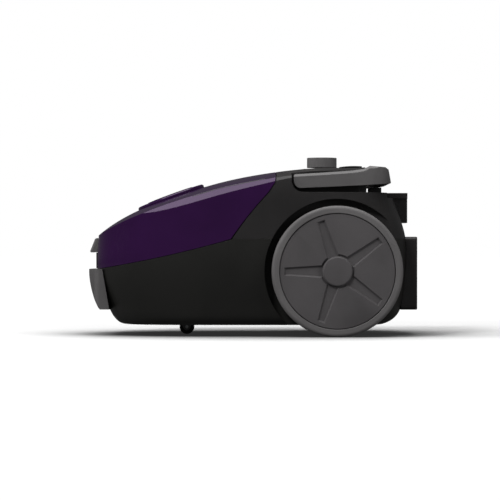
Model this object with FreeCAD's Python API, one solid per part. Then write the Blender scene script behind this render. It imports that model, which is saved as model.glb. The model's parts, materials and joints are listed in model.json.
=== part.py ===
"""Cylinder vacuum cleaner with a dust bag: a low body on two large rear wheels and a front caster.

Frame: millimetres, +Z up, the nose towards -X, the origin on the floor under the middle of the body.
Every named node is written to parts/NODE.step. The outer form is one smooth envelope, hollowed and
then divided along the lid line and the rear seam into lid, lower shell and rear housing.
"""

import FreeCAD
import Part
import math
import os

V = FreeCAD.Vector
os.makedirs("parts", exist_ok=True)

# ---------------------------------------------------------------- driving dimensions
WALL = 2.4  # moulded wall of the outer shells
FIT = 0.25  # air between pieces that sit beside each other
LID_GAP = 1.2  # shadow gap behind the lid
SEAM_Z = 117.0  # seam between the lower shell and the rear housing
SEAM_GAP = 0.12
WIDE = 150.0  # half width of the blocks that trim the body from outside
FLOOR_FILLET = 15.0

# Heights of the plan outlines: z, nose x, tail x, half width
LEVELS = [
    (13.5, -160, 158, 102),
    (34, -176.5, 180, 109.5),
    (56, -185, 183.5, 114),
    (80, -190, 185.5, 117.5),
    (117, -189, 185.5, 117),
    (150, -188, 175.8, 114.5),
    (180, -187.5, 167, 111),
    (215, -187, 157, 106),
]
NOSE_POWER, TAIL_POWER = 3.4, 5.0  # how square the plan is at the nose and at the tail
OUTLINE_POINTS = 24

# Ridge of the back: x, z. The back falls away by CROWN_SAG at CROWN_HALF either side of it
RIDGE = [
    (-216, 88), (-202, 107), (-190, 120.5), (-175, 132.5), (-150, 147.5), (-110, 164.5), (-70, 177.8),
    (-30, 188.8), (10, 196.6), (50, 202), (90, 204.6), (140, 205.5), (205, 203),
]
CROWN_SAG, CROWN_HALF = 10.0, 110.0
# Bevelled shoulder: x, half width, z where the side wall meets the bevel
SHOULDER = [
    (-216, 112, 100), (-180, 109, 124), (-140, 106, 142), (-110, 107.5, 152), (-68, 109.5, 164.4),
    (-39, 110.5, 171.6), (-10, 111, 177.6), (18, 111, 183), (60, 110.5, 188.5), (140, 109.5, 192.5),
    (205, 109, 192),
]

# Rear wheels
WHEEL_X, WHEEL_R = 100.5, 78.0
WHEEL_IN, WHEEL_OUT = 98.0, 131.5  # inner and outer face, from the middle
RIM_R = 69.0
COVER_OUT = 129.0  # outer face of the wheel cover
STAR_DEPTH, STAR_SLOPE = 2.2, 0.75
ARCH_R, ARCH_IN = 86.5, 96.0
AXLE_R = 5.0
RUNNING = 0.05  # radial play of a shaft in its hole
SPOKES = 5

# Front caster
CASTER_X, CASTER_TRAIL, CASTER_R, CASTER_HALF = -88.0, 7.0, 9.0, 7.0
POCKET_R, POCKET_Z = 22.0, 24.0

# Deck, ledge and carrying handle
LEDGE_Z, LEDGE_CORNER = 172.5, 14.0
NOTCH_X, NOTCH_Z = 161.5, 166.3  # the ledge drops here to make room for the parking flange
DECK_END, DECK_HALF, DECK_CORNER = 137.5, 82.0, 14.0
PIVOT_X, PIVOT_Z, PIVOT_R = 59.0, 186.5, 4.0
ARM_IN, ARM_OUT = 85.5, 104.5
GRIP_IN, GRIP_OUT = 145.0, 166.4
# Upper edge of the handle: x, z. Its outer top corner is bevelled by HANDLE_BEVEL
HANDLE_TOP = [
    (50.2, 194), (84.5, 196), (120, 198.5), (133, 200.4), (140, 204.1), (158.9, 202.6), (163, 199.9),
    (GRIP_OUT, 184),
]
HANDLE_BEVEL = 3.0

# Controls
KNOB_X, KNOB_R, KNOB_Z, KNOB_TOP = 85.5, 18.3, 205.0, 217.2
PEDAL_X0, PEDAL_X1, PEDAL_IN, PEDAL_OUT = 106.0, 133.5, 5.0, 37.0
PEDAL_TOP, PEDAL_SKIRT = 206.2, 193.0

# Hose port, square to the raised collar on the lid
PORT_X, PORT_Z, PORT_TILT = -101.4, 170.2, 20.2
PORT_R, PORT_WALL, PORT_LENGTH, COLLAR_R = 22.0, 3.0, 30.0, 42.8

# Lid hinge
HINGE_X, HINGE_Z, HINGE_R, LUG_R = 35.0, 194.3, 1.5, 4.2
LUG_IN, LUG_OUT = 38.0, 52.0

# Motor and cord reel
MOTOR_Y, MOTOR_Z, MOTOR_R, MOTOR_X0, MOTOR_X1 = -34.0, 84.0, 44.0, 14.0, 112.0
REEL_X, REEL_Z, REEL_R, REEL_Y0, REEL_Y1 = 104.0, 98.0, 69.0, 24.0, 76.0
BULKHEAD_X = -20.0

# Exhaust cover and parking bracket at the tail
COVER_X, COVER_HALF, COVER_Z0, COVER_Z1 = 201.5, 58.0, 31.0, 119.6
COVER_BOW = 2.0  # the rear face lies this much further forward at its sides
VENT_HALF, VENT_Z0, VENT_Z1 = 50.0, 40.0, 110.0
BRACKET_X, BRACKET_HALF, BRACKET_Z0, BRACKET_Z1 = 189.9, 20.0, 136.8, 166.5
BUMPER_HALF = 72.0
ARCH_LIP = 2.0

# Brake lever of the cord reel
LEVER_X, LEVER_Y, LEVER_Z = 119.0, 25.0, 177.0
ROLLER_X, ROLLER_Z = LEVER_X - 19, REEL_Z + REEL_R + 0.3 + 5.0
CARRIER_Z = 168.0


# ---------------------------------------------------------------- helpers
def block(x0, x1, y0, y1, z0, z1):
    return Part.makeBox(x1 - x0, y1 - y0, z1 - z0, V(x0, y0, z0))


def rod(start, direction, radius, length):
    return Part.makeCylinder(radius, length, V(*start), V(*direction))


def ring(start, direction, inner, outer, length):
    return rod(start, direction, outer, length).cut(rod(start, direction, inner, length))


def profile(start, *steps):
    """Closed XZ wire. A step is a point, or a pair (middle, end) for an arc."""
    edges, last = [], V(start[0], 0, start[1])
    for step in list(steps) + [start]:
        if isinstance(step[0], tuple):
            middle, end = (V(x, 0, z) for x, z in step)
            edges.append(Part.Arc(last, middle, end).toShape())
        else:
            end = V(step[0], 0, step[1])
            if end.distanceToPoint(last) < 1e-6:
                continue
            edges.append(Part.LineSegment(last, end).toShape())
        last = end
    return Part.Wire(edges)


def prism(wire, y0, y1):
    face = Part.Face(wire)
    face.translate(V(0, y0, 0))
    return face.extrude(V(0, y1 - y0, 0))


def mirrored(shape):
    return shape.mirror(V(0, 0, 0), V(0, 1, 0))


def pair(shape):
    """The shape and its twin on the other side, as one compound."""
    return Part.makeCompound([shape, mirrored(shape)])


def rounded(shape, radius, chosen):
    """Fillets the edges that chosen(edge) picks."""
    edges = [e for e in shape.Edges if chosen(e)]
    return shape.makeFillet(radius, edges) if edges else shape


def upright(edge):
    box = edge.BoundBox
    return box.ZLength > 1 and box.XLength < 0.01 and box.YLength < 0.01


def along_x(edge):
    box = edge.BoundBox
    return box.XLength > 1 and box.YLength < 0.01 and box.ZLength < 0.01


def rounded_block(x0, x1, y0, y1, z0, z1, radius, chosen=upright):
    return rounded(block(x0, x1, y0, y1, z0, z1), radius, chosen)


def bowed_block(face, back_x, half, drop, z0, z1):
    """Upright block whose face is an arc: at |y| = half it lies drop nearer to the back than mid-way."""
    side_x = face + math.copysign(drop, back_x - face)
    edges = [
        Part.Arc(V(side_x, -half, z0), V(face, 0, z0), V(side_x, half, z0)).toShape(),
        Part.LineSegment(V(side_x, half, z0), V(back_x, half, z0)).toShape(),
        Part.LineSegment(V(back_x, half, z0), V(back_x, -half, z0)).toShape(),
        Part.LineSegment(V(back_x, -half, z0), V(side_x, -half, z0)).toShape(),
    ]
    return Part.Face(Part.Wire(edges)).extrude(V(0, 0, z1 - z0))


def largest(shape):
    """Drops slivers left by a cut."""
    return max(shape.Solids, key=lambda s: s.Volume)


def save(name, *shapes):
    """Writes one node, as separate solids."""
    solids = [s for shape in shapes for s in shape.Solids]
    for solid in solids:
        if not solid.isValid() or solid.Volume <= 0:
            print("BAD SOLID in", name)
    shape = solids[0] if len(solids) == 1 else Part.makeCompound(solids)
    shape.exportStep("parts/%s.step" % name)
    return shape


# ---------------------------------------------------------------- outer envelope
def outline(z, nose, tail, half):
    """Plan outline at one height: a closed superellipse, rounder at the nose than at the tail."""
    middle, reach = (nose + tail) / 2, (tail - nose) / 2
    points = []
    for i in range(OUTLINE_POINTS):
        turn = 2 * math.pi * i / OUTLINE_POINTS
        c, s = math.cos(turn), math.sin(turn)
        power = 2 / (NOSE_POWER if c < 0 else TAIL_POWER)
        x = middle + reach * math.copysign(abs(c) ** power, c)
        y = half * math.copysign(abs(s) ** power, s)
        points.append(V(x, y, z))
    curve = Part.BSplineCurve()
    curve.interpolate(Points=points, PeriodicFlag=True)
    return Part.Wire([curve.toShape()])


def side_walls(inset):
    wires = []
    for i, (z, nose, tail, half) in enumerate(LEVELS):
        lift = inset if i == 0 else 0
        wires.append(outline(z + lift, nose + inset, tail - inset, half - inset))
    walls = Part.makeLoft(wires, True, False)
    foot = LEVELS[0][0] + inset
    return rounded(walls, max(FLOOR_FILLET - inset, 4), lambda e: e.BoundBox.ZMax < foot + 0.1)


def back(inset):
    """Everything below the crowned back."""
    wires = []
    for x, z in RIDGE:
        top = V(x, 0, z - inset)
        drop = CROWN_SAG * (WIDE / CROWN_HALF) ** 2
        left, right = V(x, -WIDE, top.z - drop), V(x, WIDE, top.z - drop)
        low_left, low_right = V(x, -WIDE, -60), V(x, WIDE, -60)
        wires.append(Part.Wire([
            Part.LineSegment(low_left, low_right).toShape(),
            Part.LineSegment(low_right, right).toShape(),
            Part.Arc(right, top, left).toShape(),
            Part.LineSegment(left, low_left).toShape(),
        ]))
    return Part.makeLoft(wires, True, False)


def shoulders(inset):
    """Everything below a roof whose slopes cut the bevelled shoulders."""
    wires = []
    for x, half, z in SHOULDER:
        z -= inset * math.sqrt(2)
        eaves = z - (WIDE - half)
        wires.append(Part.makePolygon([
            V(x, -WIDE, -60), V(x, WIDE, -60), V(x, WIDE, eaves), V(x, 0, z + half), V(x, -WIDE, eaves),
            V(x, -WIDE, -60),
        ]))
    return Part.makeLoft(wires, True, False)


def envelope(inset):
    return side_walls(inset).common(back(inset)).common(shoulders(inset))


def lid_region(low, rear):
    """The lid's side profile, run right across, with its lower and rear edges moved outwards."""
    return prism(profile(
        (-230, 75.2 - low),
        ((-110, 95.3 - low), (-26 + rear, 116.6 - low)),
        ((-1 + rear, 150), (18 + rear, 171.5)),
        (26.5 + rear, 184),
        (27.5 + rear, 191),
        (27.5 + rear, 240),
        (-230, 240),
    ), -WIDE, WIDE)


def arch(side, grow):
    start = (WHEEL_X, side * (ARCH_IN - grow), WHEEL_R)
    return rod(start, (0, side, 0), ARCH_R + grow, WIDE)


def ledge_cut(grow):
    """The step round the deck. Its front corner is an arc that clears the swinging handle."""
    r = LEDGE_CORNER + grow
    x, z = PIVOT_X + 1.5, LEDGE_Z + LEDGE_CORNER
    mid = math.sqrt(0.5) * r
    step = prism(profile(
        (x - r, 240),
        (x - r, z),
        ((x - mid, z - mid), (x, z - r)),
        (NOTCH_X - grow, z - r),
        (NOTCH_X - grow, NOTCH_Z - grow),
        (240, NOTCH_Z - grow),
        (240, 240),
    ), -WIDE, WIDE)
    deck = block(0, DECK_END - grow, -DECK_HALF + grow, DECK_HALF - grow, 100, 260)
    deck = rounded(deck, DECK_CORNER, lambda e: upright(e) and e.BoundBox.XMin > 1)
    return step.cut(deck)


# ---------------------------------------------------------------- shells
def on_arch(edge):
    """True for an edge where an arch breaks out of the side wall."""
    first, last = edge.ParameterRange
    for i in range(5):
        p = edge.valueAt(first + (last - first) * i / 4)
        if abs(math.hypot(p.x - WHEEL_X, p.z - WHEEL_R) - ARCH_R) > 0.3 or abs(p.y) < ARCH_IN + 3:
            return False
    return True


def shells():
    """Returns the hollow body outside the lid, the lid and the room left inside the body."""
    outer, inner, inside = envelope(0), envelope(WALL), envelope(WALL + FIT)
    form, hollow = outer, inner
    for side in (-1, 1):
        form = form.cut(arch(side, 0))
        hollow = hollow.cut(arch(side, WALL))
        inside = inside.cut(arch(side, WALL + FIT))
    form = form.cut(ledge_cut(0))
    hollow = hollow.cut(ledge_cut(WALL))
    inside = inside.cut(ledge_cut(WALL + FIT))
    form = rounded(form, ARCH_LIP, on_arch)
    body = form.cut(hollow).cut(lid_region(LID_GAP / 2, LID_GAP))
    lid = outer.cut(inner).common(lid_region(0, 0))
    return outer, body, lid, inside


def below(z):
    return block(-2 * WIDE, 2 * WIDE, -WIDE, WIDE, -10, z)


def above(z):
    return block(-2 * WIDE, 2 * WIDE, -WIDE, WIDE, z, 300)


OUTER, BODY, LID, INSIDE = shells()
OUTSIDE = envelope(-FIT)

# ---------------------------------------------------------------- lower shell and what it carries
SCREW_PLACES = [(-150, 62), (-60, 84), (40, 62)]
SCREW_HEAD_R, SCREW_R, SCREW_LENGTH = 3.6, 1.6, 15.0
FLOOR_Z = LEVELS[0][0]
AXLE_BOSS_R, AXLE_BOSS_IN = 11.0, 84.5
CASTER_PIN_R, CASTER_BOSS_R, CASTER_BOSS_TOP = 4.0, 8.0, 42.0


def make_lower_shell():
    shell = BODY.common(below(SEAM_Z - SEAM_GAP))
    for side in (-1, 1):
        boss = rod((WHEEL_X, side * AXLE_BOSS_IN, WHEEL_R), (0, side, 0), AXLE_BOSS_R, ARCH_IN - AXLE_BOSS_IN)
        hole = rod((WHEEL_X, side * (AXLE_BOSS_IN - 1), WHEEL_R), (0, side, 0), AXLE_R, 40)
        shell = shell.fuse(boss).cut(hole)
    pocket = rod((CASTER_X, 0, 0), (0, 0, 1), POCKET_R, POCKET_Z)
    lining = rod((CASTER_X, 0, FLOOR_Z), (0, 0, 1), POCKET_R + WALL, POCKET_Z + WALL - FLOOR_Z)
    boss = rod((CASTER_X, 0, POCKET_Z), (0, 0, 1), CASTER_BOSS_R, CASTER_BOSS_TOP - POCKET_Z)
    bore = rod((CASTER_X, 0, 0), (0, 0, 1), CASTER_PIN_R + RUNNING, 100)
    shell = shell.fuse(lining).cut(pocket).fuse(boss).cut(bore)
    for x, y in SCREW_PLACES:
        post = pair(rod((x, y, FLOOR_Z + 1), (0, 0, 1), SCREW_HEAD_R + 2.4, 22))
        shell = shell.fuse(post.Solids)
        shell = shell.cut(pair(rod((x, y, 0), (0, 0, 1), SCREW_HEAD_R + 0.4, FLOOR_Z + 4)))
        shell = shell.cut(pair(rod((x, y, 0), (0, 0, 1), SCREW_R, FLOOR_Z + 4 + SCREW_LENGTH)))
    vent = block(170, 200, -VENT_HALF, VENT_HALF, VENT_Z0, VENT_Z1)
    return shell.cut(vent)


def make_housing_screws():
    screws = []
    for x, y in SCREW_PLACES:
        head = rod((x, y, FLOOR_Z + 1.2), (0, 0, 1), SCREW_HEAD_R, 2.8)
        shank = rod((x, y, FLOOR_Z + 3), (0, 0, 1), SCREW_R - 0.02, SCREW_LENGTH)
        cross = block(x - 2.2, x + 2.2, y - 0.45, y + 0.45, FLOOR_Z, FLOOR_Z + 2.4)
        cross = cross.fuse(block(x - 0.45, x + 0.45, y - 2.2, y + 2.2, FLOOR_Z, FLOOR_Z + 2.4))
        screws.append(pair(head.fuse(shank).cut(cross)))
    return screws


def bulkhead_profile(offset, depth):
    """Wall between the dust room and the motor room: upright, then following the rear edge of the lid."""
    o, d = offset, depth
    return profile(
        (BULKHEAD_X, 0), (BULKHEAD_X, 120 - d),
        ((3 + o, 150), (22 + o, 171)), (31 + o, 184), (31 + o, 230), (31 + o + d, 230), (31 + o + d, 183),
        ((6 + o + d, 148), (BULKHEAD_X + d, 117 - d)), (BULKHEAD_X + d, 0),
    )


def make_bulkhead():
    wall = prism(bulkhead_profile(12, WALL), -WIDE, WIDE).common(INSIDE)
    frame = block(-26, BULKHEAD_X + 0.5, MOTOR_Y - 32, MOTOR_Y + 32, MOTOR_Z - 32, MOTOR_Z + 32)
    frame = frame.cut(block(-27, BULKHEAD_X, MOTOR_Y - 28, MOTOR_Y + 28, MOTOR_Z - 28, MOTOR_Z + 28))
    window = rod((BULKHEAD_X - 5, MOTOR_Y, MOTOR_Z), (1, 0, 0), 26, 20)
    return wall.fuse(frame).cut(window)


def make_front_bumper():
    """Grey lip across the nose, slanting back towards its lower edge."""
    lip = prism(profile(
        (-201.5, 79.8), ((-197.2, 60), (-186.2, 33.5)), (-184.5, 31.6), (-173.1, 31.6), (-181.6, 80.4),
        (-196, 80.4), (-200.6, 80.4),
    ), -BUMPER_HALF, BUMPER_HALF)
    bow = bowed_block(-201.5, -150, BUMPER_HALF, 12.0, 20, 130)
    bow = rounded(bow, 7.0, lambda e: upright(e) and e.BoundBox.XMax < -160)
    return lip.common(bow).cut(OUTSIDE)


save("lower_shell", make_lower_shell())
save("housing_screws", *make_housing_screws())
bulkhead = save("motor_bulkhead", make_bulkhead())
save("front_bumper", make_front_bumper())


# ---------------------------------------------------------------- rear housing, deck and controls
def make_rear_housing():
    shell = BODY.common(above(SEAM_Z))
    for side in (-1, 1):
        y0, y1 = sorted((side * (LUG_IN - 0.6), side * (LUG_OUT + 0.6)))
        shell = shell.cut(block(20, HINGE_X + LUG_R + 0.8, y0, y1, HINGE_Z - LUG_R - 0.8, 230))
        inner_span = sorted((side * (LUG_IN - 4.6), side * (LUG_IN - 0.6)))
        outer_span = sorted((side * (LUG_OUT + 0.6), side * (LUG_OUT + 4.6)))
        ear_in = block(HINGE_X - 4, HINGE_X + 4, *inner_span, 189, 205)
        ear_out = block(HINGE_X - 4, HINGE_X + 4, *outer_span, 189, 205)
        ears = ear_in.fuse(ear_out).common(OUTER)
        shell = shell.fuse(ears)
        pin_start = (HINGE_X, side * (LUG_IN - 4.7), HINGE_Z)
        shell = shell.cut(rod(pin_start, (0, side, 0), HINGE_R, LUG_OUT - LUG_IN + 9.4))
        y0, y1 = sorted((side * (PEDAL_IN - 0.6), side * (PEDAL_OUT + 0.6)))
        shell = shell.cut(block(PEDAL_X0 - 0.6, PEDAL_X1 + 0.6, y0, y1, 190, 230))
        pin_hole = rod((PIVOT_X, side * (DECK_HALF - 8), PIVOT_Z), (0, side, 0), PIVOT_R, 12)
        pad = rod((PIVOT_X, side * (DECK_HALF - 6), PIVOT_Z), (0, side, 0), 9, 6)
        shell = shell.fuse(pad).cut(pin_hole)
    shell = shell.cut(rod((KNOB_X, 0, 180), (0, 0, 1), 4.0, 40))
    shell = shell.cut(rod((150, 0, 165), (0, 0, 1), 4.0, 12))
    return shell


def make_pivot_pins():
    return pair(rod((PIVOT_X, DECK_HALF - 8, PIVOT_Z), (0, 1, 0), PIVOT_R, ARM_IN + 10 - DECK_HALF + 8))


def make_hinge_pins():
    return pair(rod((HINGE_X, LUG_IN - 4.5, HINGE_Z), (0, 1, 0), HINGE_R, LUG_OUT - LUG_IN + 9))


def make_cord_guide():
    """Low block behind the deck. Its mouth faces the tail and a hole leads down into the reel room."""
    guide = rounded_block(142.6, 158.6, -12, 12, LEDGE_Z, 180.4, 2.5)
    mouth = block(146.0, 165.0, -7, 7, 174.0, 178.6)
    down = rod((150, 0, 168), (0, 0, 1), 4.0, 8)
    return guide.cut(mouth).cut(down)


def make_parking_bracket():
    """Box on the tail with an upright slot, open at the top and rear, for the hook of a floor head."""
    slab = rounded_block(150, BRACKET_X, -BRACKET_HALF, BRACKET_HALF, BRACKET_Z0, BRACKET_Z1, 2.0)
    slab = slab.cut(block(181, 200, -5.2, 5.2, 141.5, 200))
    return slab.cut(OUTSIDE)


def make_parking_flange():
    """Cap over the bracket, set into the notch of the ledge and slotted for the hook."""
    cap = rounded_block(
        NOTCH_X + 0.3, BRACKET_X + 0.2, -BRACKET_HALF - 2, BRACKET_HALF + 2, NOTCH_Z + 0.3, 173.4, 2.0)
    return cap.cut(block(181, 200, -5.2, 5.2, 141.5, 200))


def make_handle():
    """U-shaped handle: two arms beside the deck and a hollow grip across the tail."""
    side_view = prism(profile(
        (49.2, 192.5), *HANDLE_TOP, (157, 182.6), (134, 181), (104, 179.6), (57.6, 177.6),
        ((51.6, 180.2), (49.2, 186.5)),
    ), -WIDE, WIDE)
    plan_out = block(20, GRIP_OUT + 0.1, -ARM_OUT, ARM_OUT, 150, 240)
    plan_out = rounded(plan_out, 26.0, lambda e: upright(e) and e.BoundBox.XMin > 100)
    plan_in = block(20, GRIP_IN, -ARM_IN, ARM_IN, 140, 250)
    plan_in = rounded(plan_in, 14.0, lambda e: upright(e) and e.BoundBox.XMin > 100)
    handle = side_view.common(plan_out.cut(plan_in)).common(handle_bevel())
    handle = handle.cut(rounded_block(GRIP_IN + 4, 161.0, -74, 74, 170, 198.5, 5.4))
    for side in (-1, 1):
        handle = handle.cut(rod((PIVOT_X, side * (ARM_IN - 1), PIVOT_Z), (0, side, 0), PIVOT_R + RUNNING, 12))
    return handle


def handle_bevel():
    """Everything below a roof that follows the handle's upper edge and cuts its outer top corners."""
    wires = []
    for x, z in [(20, HANDLE_TOP[0][1])] + HANDLE_TOP + [(GRIP_OUT + 4, 170)]:
        peak = z - HANDLE_BEVEL + ARM_OUT
        eaves = peak - WIDE
        wires.append(Part.makePolygon([
            V(x, -WIDE, -60), V(x, WIDE, -60), V(x, WIDE, eaves),
            V(x, 0, peak), V(x, -WIDE, eaves), V(x, -WIDE, -60),
        ]))
    return Part.makeLoft(wires, True, True)


def make_grip_insert():
    """Soft pad that closes the underside of the grip."""
    return rounded_block(GRIP_IN + 4.2, 160.8, -73.8, 73.8, 185.0, 198.3, 5.2)


def make_knob():
    body = rod((KNOB_X, 0, KNOB_Z), (0, 0, 1), KNOB_R, KNOB_TOP - KNOB_Z)
    body = body.makeFillet(0.8, [e for e in body.Edges if e.BoundBox.ZMin > KNOB_TOP - 0.1])
    mark = block(KNOB_X - 15, KNOB_X - 8, -0.8, 0.8, KNOB_TOP - 0.7, KNOB_TOP + 1)
    socket = rod((KNOB_X, 0, KNOB_Z - 1), (0, 0, 1), 3.0, 8)
    return body.cut(mark).cut(socket)


def make_pedal(side):
    """Push pedal: a crowned cap with a skirt in the deck's opening and a stem underneath."""
    y0, y1 = sorted((side * PEDAL_IN, side * PEDAL_OUT))
    cap = block(PEDAL_X0, PEDAL_X1, y0, y1, PEDAL_SKIRT, 215)
    top = prism(profile(
        (PEDAL_X0 - 1, 150), (PEDAL_X0 - 1, 204.6),
        ((PEDAL_X0 + 14, PEDAL_TOP - 0.2), (PEDAL_X1 + 1, PEDAL_TOP - 0.6)),
        (PEDAL_X1 + 1, 150),
    ), -60, 60)
    cap = cap.common(top)
    cap = rounded(cap, 3.0, upright)
    cap = cap.cut(block(PEDAL_X0 + 2, PEDAL_X1 - 2, y0 + 2, y1 - 2, PEDAL_SKIRT - 1, 203))
    x, y = (LEVER_X + 12, LEVER_Y) if side > 0 else (121.0, -21.0)
    stem = rod((x, y, STEM_FOOT[side]), (0, 0, 1), 2.5, 204 - STEM_FOOT[side])
    return cap.fuse(stem)


STEM_FOOT = {1: LEVER_Z + 2.9, -1: 188.4}
save("rear_housing", make_rear_housing())
save("handle_pivot_pins", make_pivot_pins())
save("lid_hinge_pins", make_hinge_pins())
save("cord_guide", make_cord_guide())
save("parking_bracket", make_parking_bracket())
save("parking_flange", make_parking_flange())
save("carry_handle", make_handle())
save("grip_insert", make_grip_insert())
save("suction_knob", make_knob())
save("knob_spindle", rod((KNOB_X, 0, 175), (0, 0, 1), 3.0, KNOB_Z + 7 - 175))
save("cord_rewind_pedal", make_pedal(1))
save("power_pedal", make_pedal(-1))


# ---------------------------------------------------------------- lid
def at_port(shape):
    """Places a shape made about the port: local X up the slope, local Z out of the port."""
    shape.rotate(V(0, 0, 0), V(0, 1, 0), -PORT_TILT)
    shape.translate(V(PORT_X, 0, PORT_Z))
    return shape


def make_lid():
    lid = LID
    lid = lid.cut(at_port(rod((0, 0, -60), (0, 0, 1), PORT_R + PORT_WALL + 0.2, 90)))
    lid = lid.cut(block(-200, -186, -27, 27, 99, 118.4))
    lid = lid.cut(block(-200, -189.6, -10.6, 10.6, 70, 100))
    for side in (-1, 1):
        y0, y1 = sorted((side * LUG_IN, side * LUG_OUT))
        eye = rod((HINGE_X, side * LUG_IN, HINGE_Z), (0, side, 0), LUG_R, LUG_OUT - LUG_IN)
        arm = block(24.5, HINGE_X, y0, y1, HINGE_Z - LUG_R, HINGE_Z + LUG_R)
        lug = eye.fuse(arm).common(OUTER)
        bore = rod(
            (HINGE_X, side * (LUG_IN - 1), HINGE_Z), (0, side, 0), HINGE_R + RUNNING, LUG_OUT - LUG_IN + 2)
        lid = lid.fuse(lug).cut(bore)
    return largest(lid)


def make_collar():
    disc = at_port(rod((0, 0, -16), (0, 0, 1), COLLAR_R, 16))
    top = [e for e in disc.Edges if e.Closed and e.BoundBox.Center.z > PORT_Z - 4]
    disc = disc.makeChamfer(1.4, top)
    bore = at_port(rod((0, 0, -30), (0, 0, 1), PORT_R + PORT_WALL + 0.2, 60))
    return disc.cut(bore).cut(OUTSIDE)


def make_port_tube():
    tube = rod((0, 0, -PORT_LENGTH + 1.2), (0, 0, 1), PORT_R + PORT_WALL, PORT_LENGTH)
    flange = rod((0, 0, FIT), (0, 0, 1), PORT_R + PORT_WALL + 4, 1.2 - FIT)
    bore = rod((0, 0, -60), (0, 0, 1), PORT_R, 90)
    return at_port(tube.fuse(flange).cut(bore))


def make_latch_tab():
    """Grey thumb tab at the nose of the lid. Its lower edge pulls outwards."""
    tab = prism(profile(
        (-193.4, 116.8), (-199, 102.6), ((-198.4, 100.9), (-196.8, 100.6)), (-190.4, 100.8), (-186.6, 104.5),
        (-186.6, 115.5), ((-189.5, 118), (-193.4, 116.8)),
    ), -26, 26)
    return rounded(tab, 3.0, lambda e: (
        abs(e.BoundBox.YMax) > 25.9 and e.BoundBox.XMax < -193.3 and e.BoundBox.ZLength > 5))


def make_latch_leg():
    return block(-192.5, -190.1, -10, 10, 81.2, 100.3)


save("lid_shell", make_lid())
save("hose_port_collar", make_collar())
save("hose_port_tube", make_port_tube())
save("latch_tab", make_latch_tab())
save("latch_leg", make_latch_leg())


# ---------------------------------------------------------------- dust room
BAG_HALF, BAG_BOTTOM, BAG_TOP = 90.0, 47.0, 112.0
PLATE_DEPTH = 35.5


def make_seal():
    """Rubber band under the lid's edge. It leaves room for the hinge lugs."""
    band = envelope(WALL + 0.3).cut(envelope(WALL + 2.8)).common(lid_region(6, 5)).cut(lid_region(-4, -3))
    return band.cut(pair(block(20, 45, 32.5, 57.5, 180, 230))).cut(bulkhead)


def make_bag_plate():
    plate = rounded_block(-46, 62, -64, 64, -PLATE_DEPTH - 4, -PLATE_DEPTH, 8.0)
    plate = plate.cut(rod((0, 0, -60), (0, 0, 1), PORT_R, 50))
    return at_port(plate)


def make_bag_cradle():
    """Two cheeks on the motor wall, with a rail under each side of the bag's plate."""
    cheek = prism(profile((-80, 126), (-26, 145.5), (20, 162), (20, 186), (-22, 170), (-80, 149)), 65.0, 68.0)
    rail = at_port(block(-20, 60, 56, 68, -PLATE_DEPTH - 7.5, -PLATE_DEPTH - 4.2))
    wall = prism(bulkhead_profile(12, WALL), -WIDE, WIDE)
    behind = prism(profile((-20, 0), (-20, 117.6), ((15, 150), (34, 171)),
                           (43, 184), (43, 230), (200, 230), (200, 0)),
                   -WIDE, WIDE)
    arm = cheek.fuse(rail).cut(behind).cut(wall)
    return pair(arm)


def make_dust_bag():
    """Filled bag of soft fleece under its plate."""
    body = prism(profile(
        (-145, BAG_BOTTOM), (-28.5, BAG_BOTTOM), (-28.5, 96), (-45, BAG_TOP + 8), (-120, BAG_TOP - 6),
        (-155, 86), (-158, 64),
    ), -BAG_HALF, BAG_HALF)
    body = body.makeFillet(14.0, [e for e in body.Edges if e.BoundBox.YLength < 1])
    neck = at_port(rod((0, 0, -70), (0, 0, 1), 34, 70 - PLATE_DEPTH - 4.1))
    return body.fuse(neck)


save("chamber_seal", make_seal())
save("bag_plate", make_bag_plate())
save("bag_cradle", make_bag_cradle())
save("dust_bag", make_dust_bag())
save("motor_filter", block(
    -25.6, BULKHEAD_X - 0.3, MOTOR_Y - 27.8, MOTOR_Y + 27.8, MOTOR_Z - 27.8, MOTOR_Z + 27.8))


# ---------------------------------------------------------------- motor
FAN_R = MOTOR_R - 5


def motor_rod(x0, x1, radius):
    return rod((x0, MOTOR_Y, MOTOR_Z), (1, 0, 0), radius, x1 - x0)


def motor_ring(x0, x1, inner, outer):
    return motor_rod(x0, x1, outer).cut(motor_rod(x0, x1, inner))


def make_motor_can():
    can = motor_rod(MOTOR_X0, MOTOR_X1, MOTOR_R).cut(motor_rod(MOTOR_X0 + 3, MOTOR_X1 - 3, MOTOR_R - 3))
    can = can.cut(motor_rod(MOTOR_X0 - 1, MOTOR_X0 + 4, 24))
    can = can.cut(motor_rod(MOTOR_X1 - 4, MOTOR_X1 + 1, 12))
    for i in range(8):
        turn = 2 * math.pi * i / 8
        port_at = (MOTOR_X1 - 4, MOTOR_Y + 30 * math.cos(turn), MOTOR_Z + 30 * math.sin(turn))
        port = rod(port_at, (1, 0, 0), 6, 6)
        can = can.cut(port)
    return can


def make_motor_cradle():
    saddles = []
    for x in (22.0, 94.0):
        saddle = block(x, x + 10, MOTOR_Y - 45, MOTOR_Y + 45, 10, MOTOR_Z - 8).common(INSIDE)
        saddles.append(saddle.cut(motor_rod(x - 1, x + 11, MOTOR_R + 4.1)))
    return saddles


def make_motor_mounts():
    return [motor_ring(x + 1, x + 9, MOTOR_R, MOTOR_R + 4) for x in (22.0, 94.0)]


def make_bearings():
    front = motor_ring(MOTOR_X0 + 22, MOTOR_X0 + 28, 4.0 + RUNNING, MOTOR_R - 3)
    for i in range(6):
        turn = 2 * math.pi * (i + 0.5) / 6
        hole = (MOTOR_X0 + 21, MOTOR_Y + 28 * math.cos(turn), MOTOR_Z + 28 * math.sin(turn))
        front = front.cut(rod(hole, (1, 0, 0), 8, 8))
    rear = motor_ring(MOTOR_X1 - 8, MOTOR_X1 + 1, 4.0 + RUNNING, 12)
    return front, rear


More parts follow.
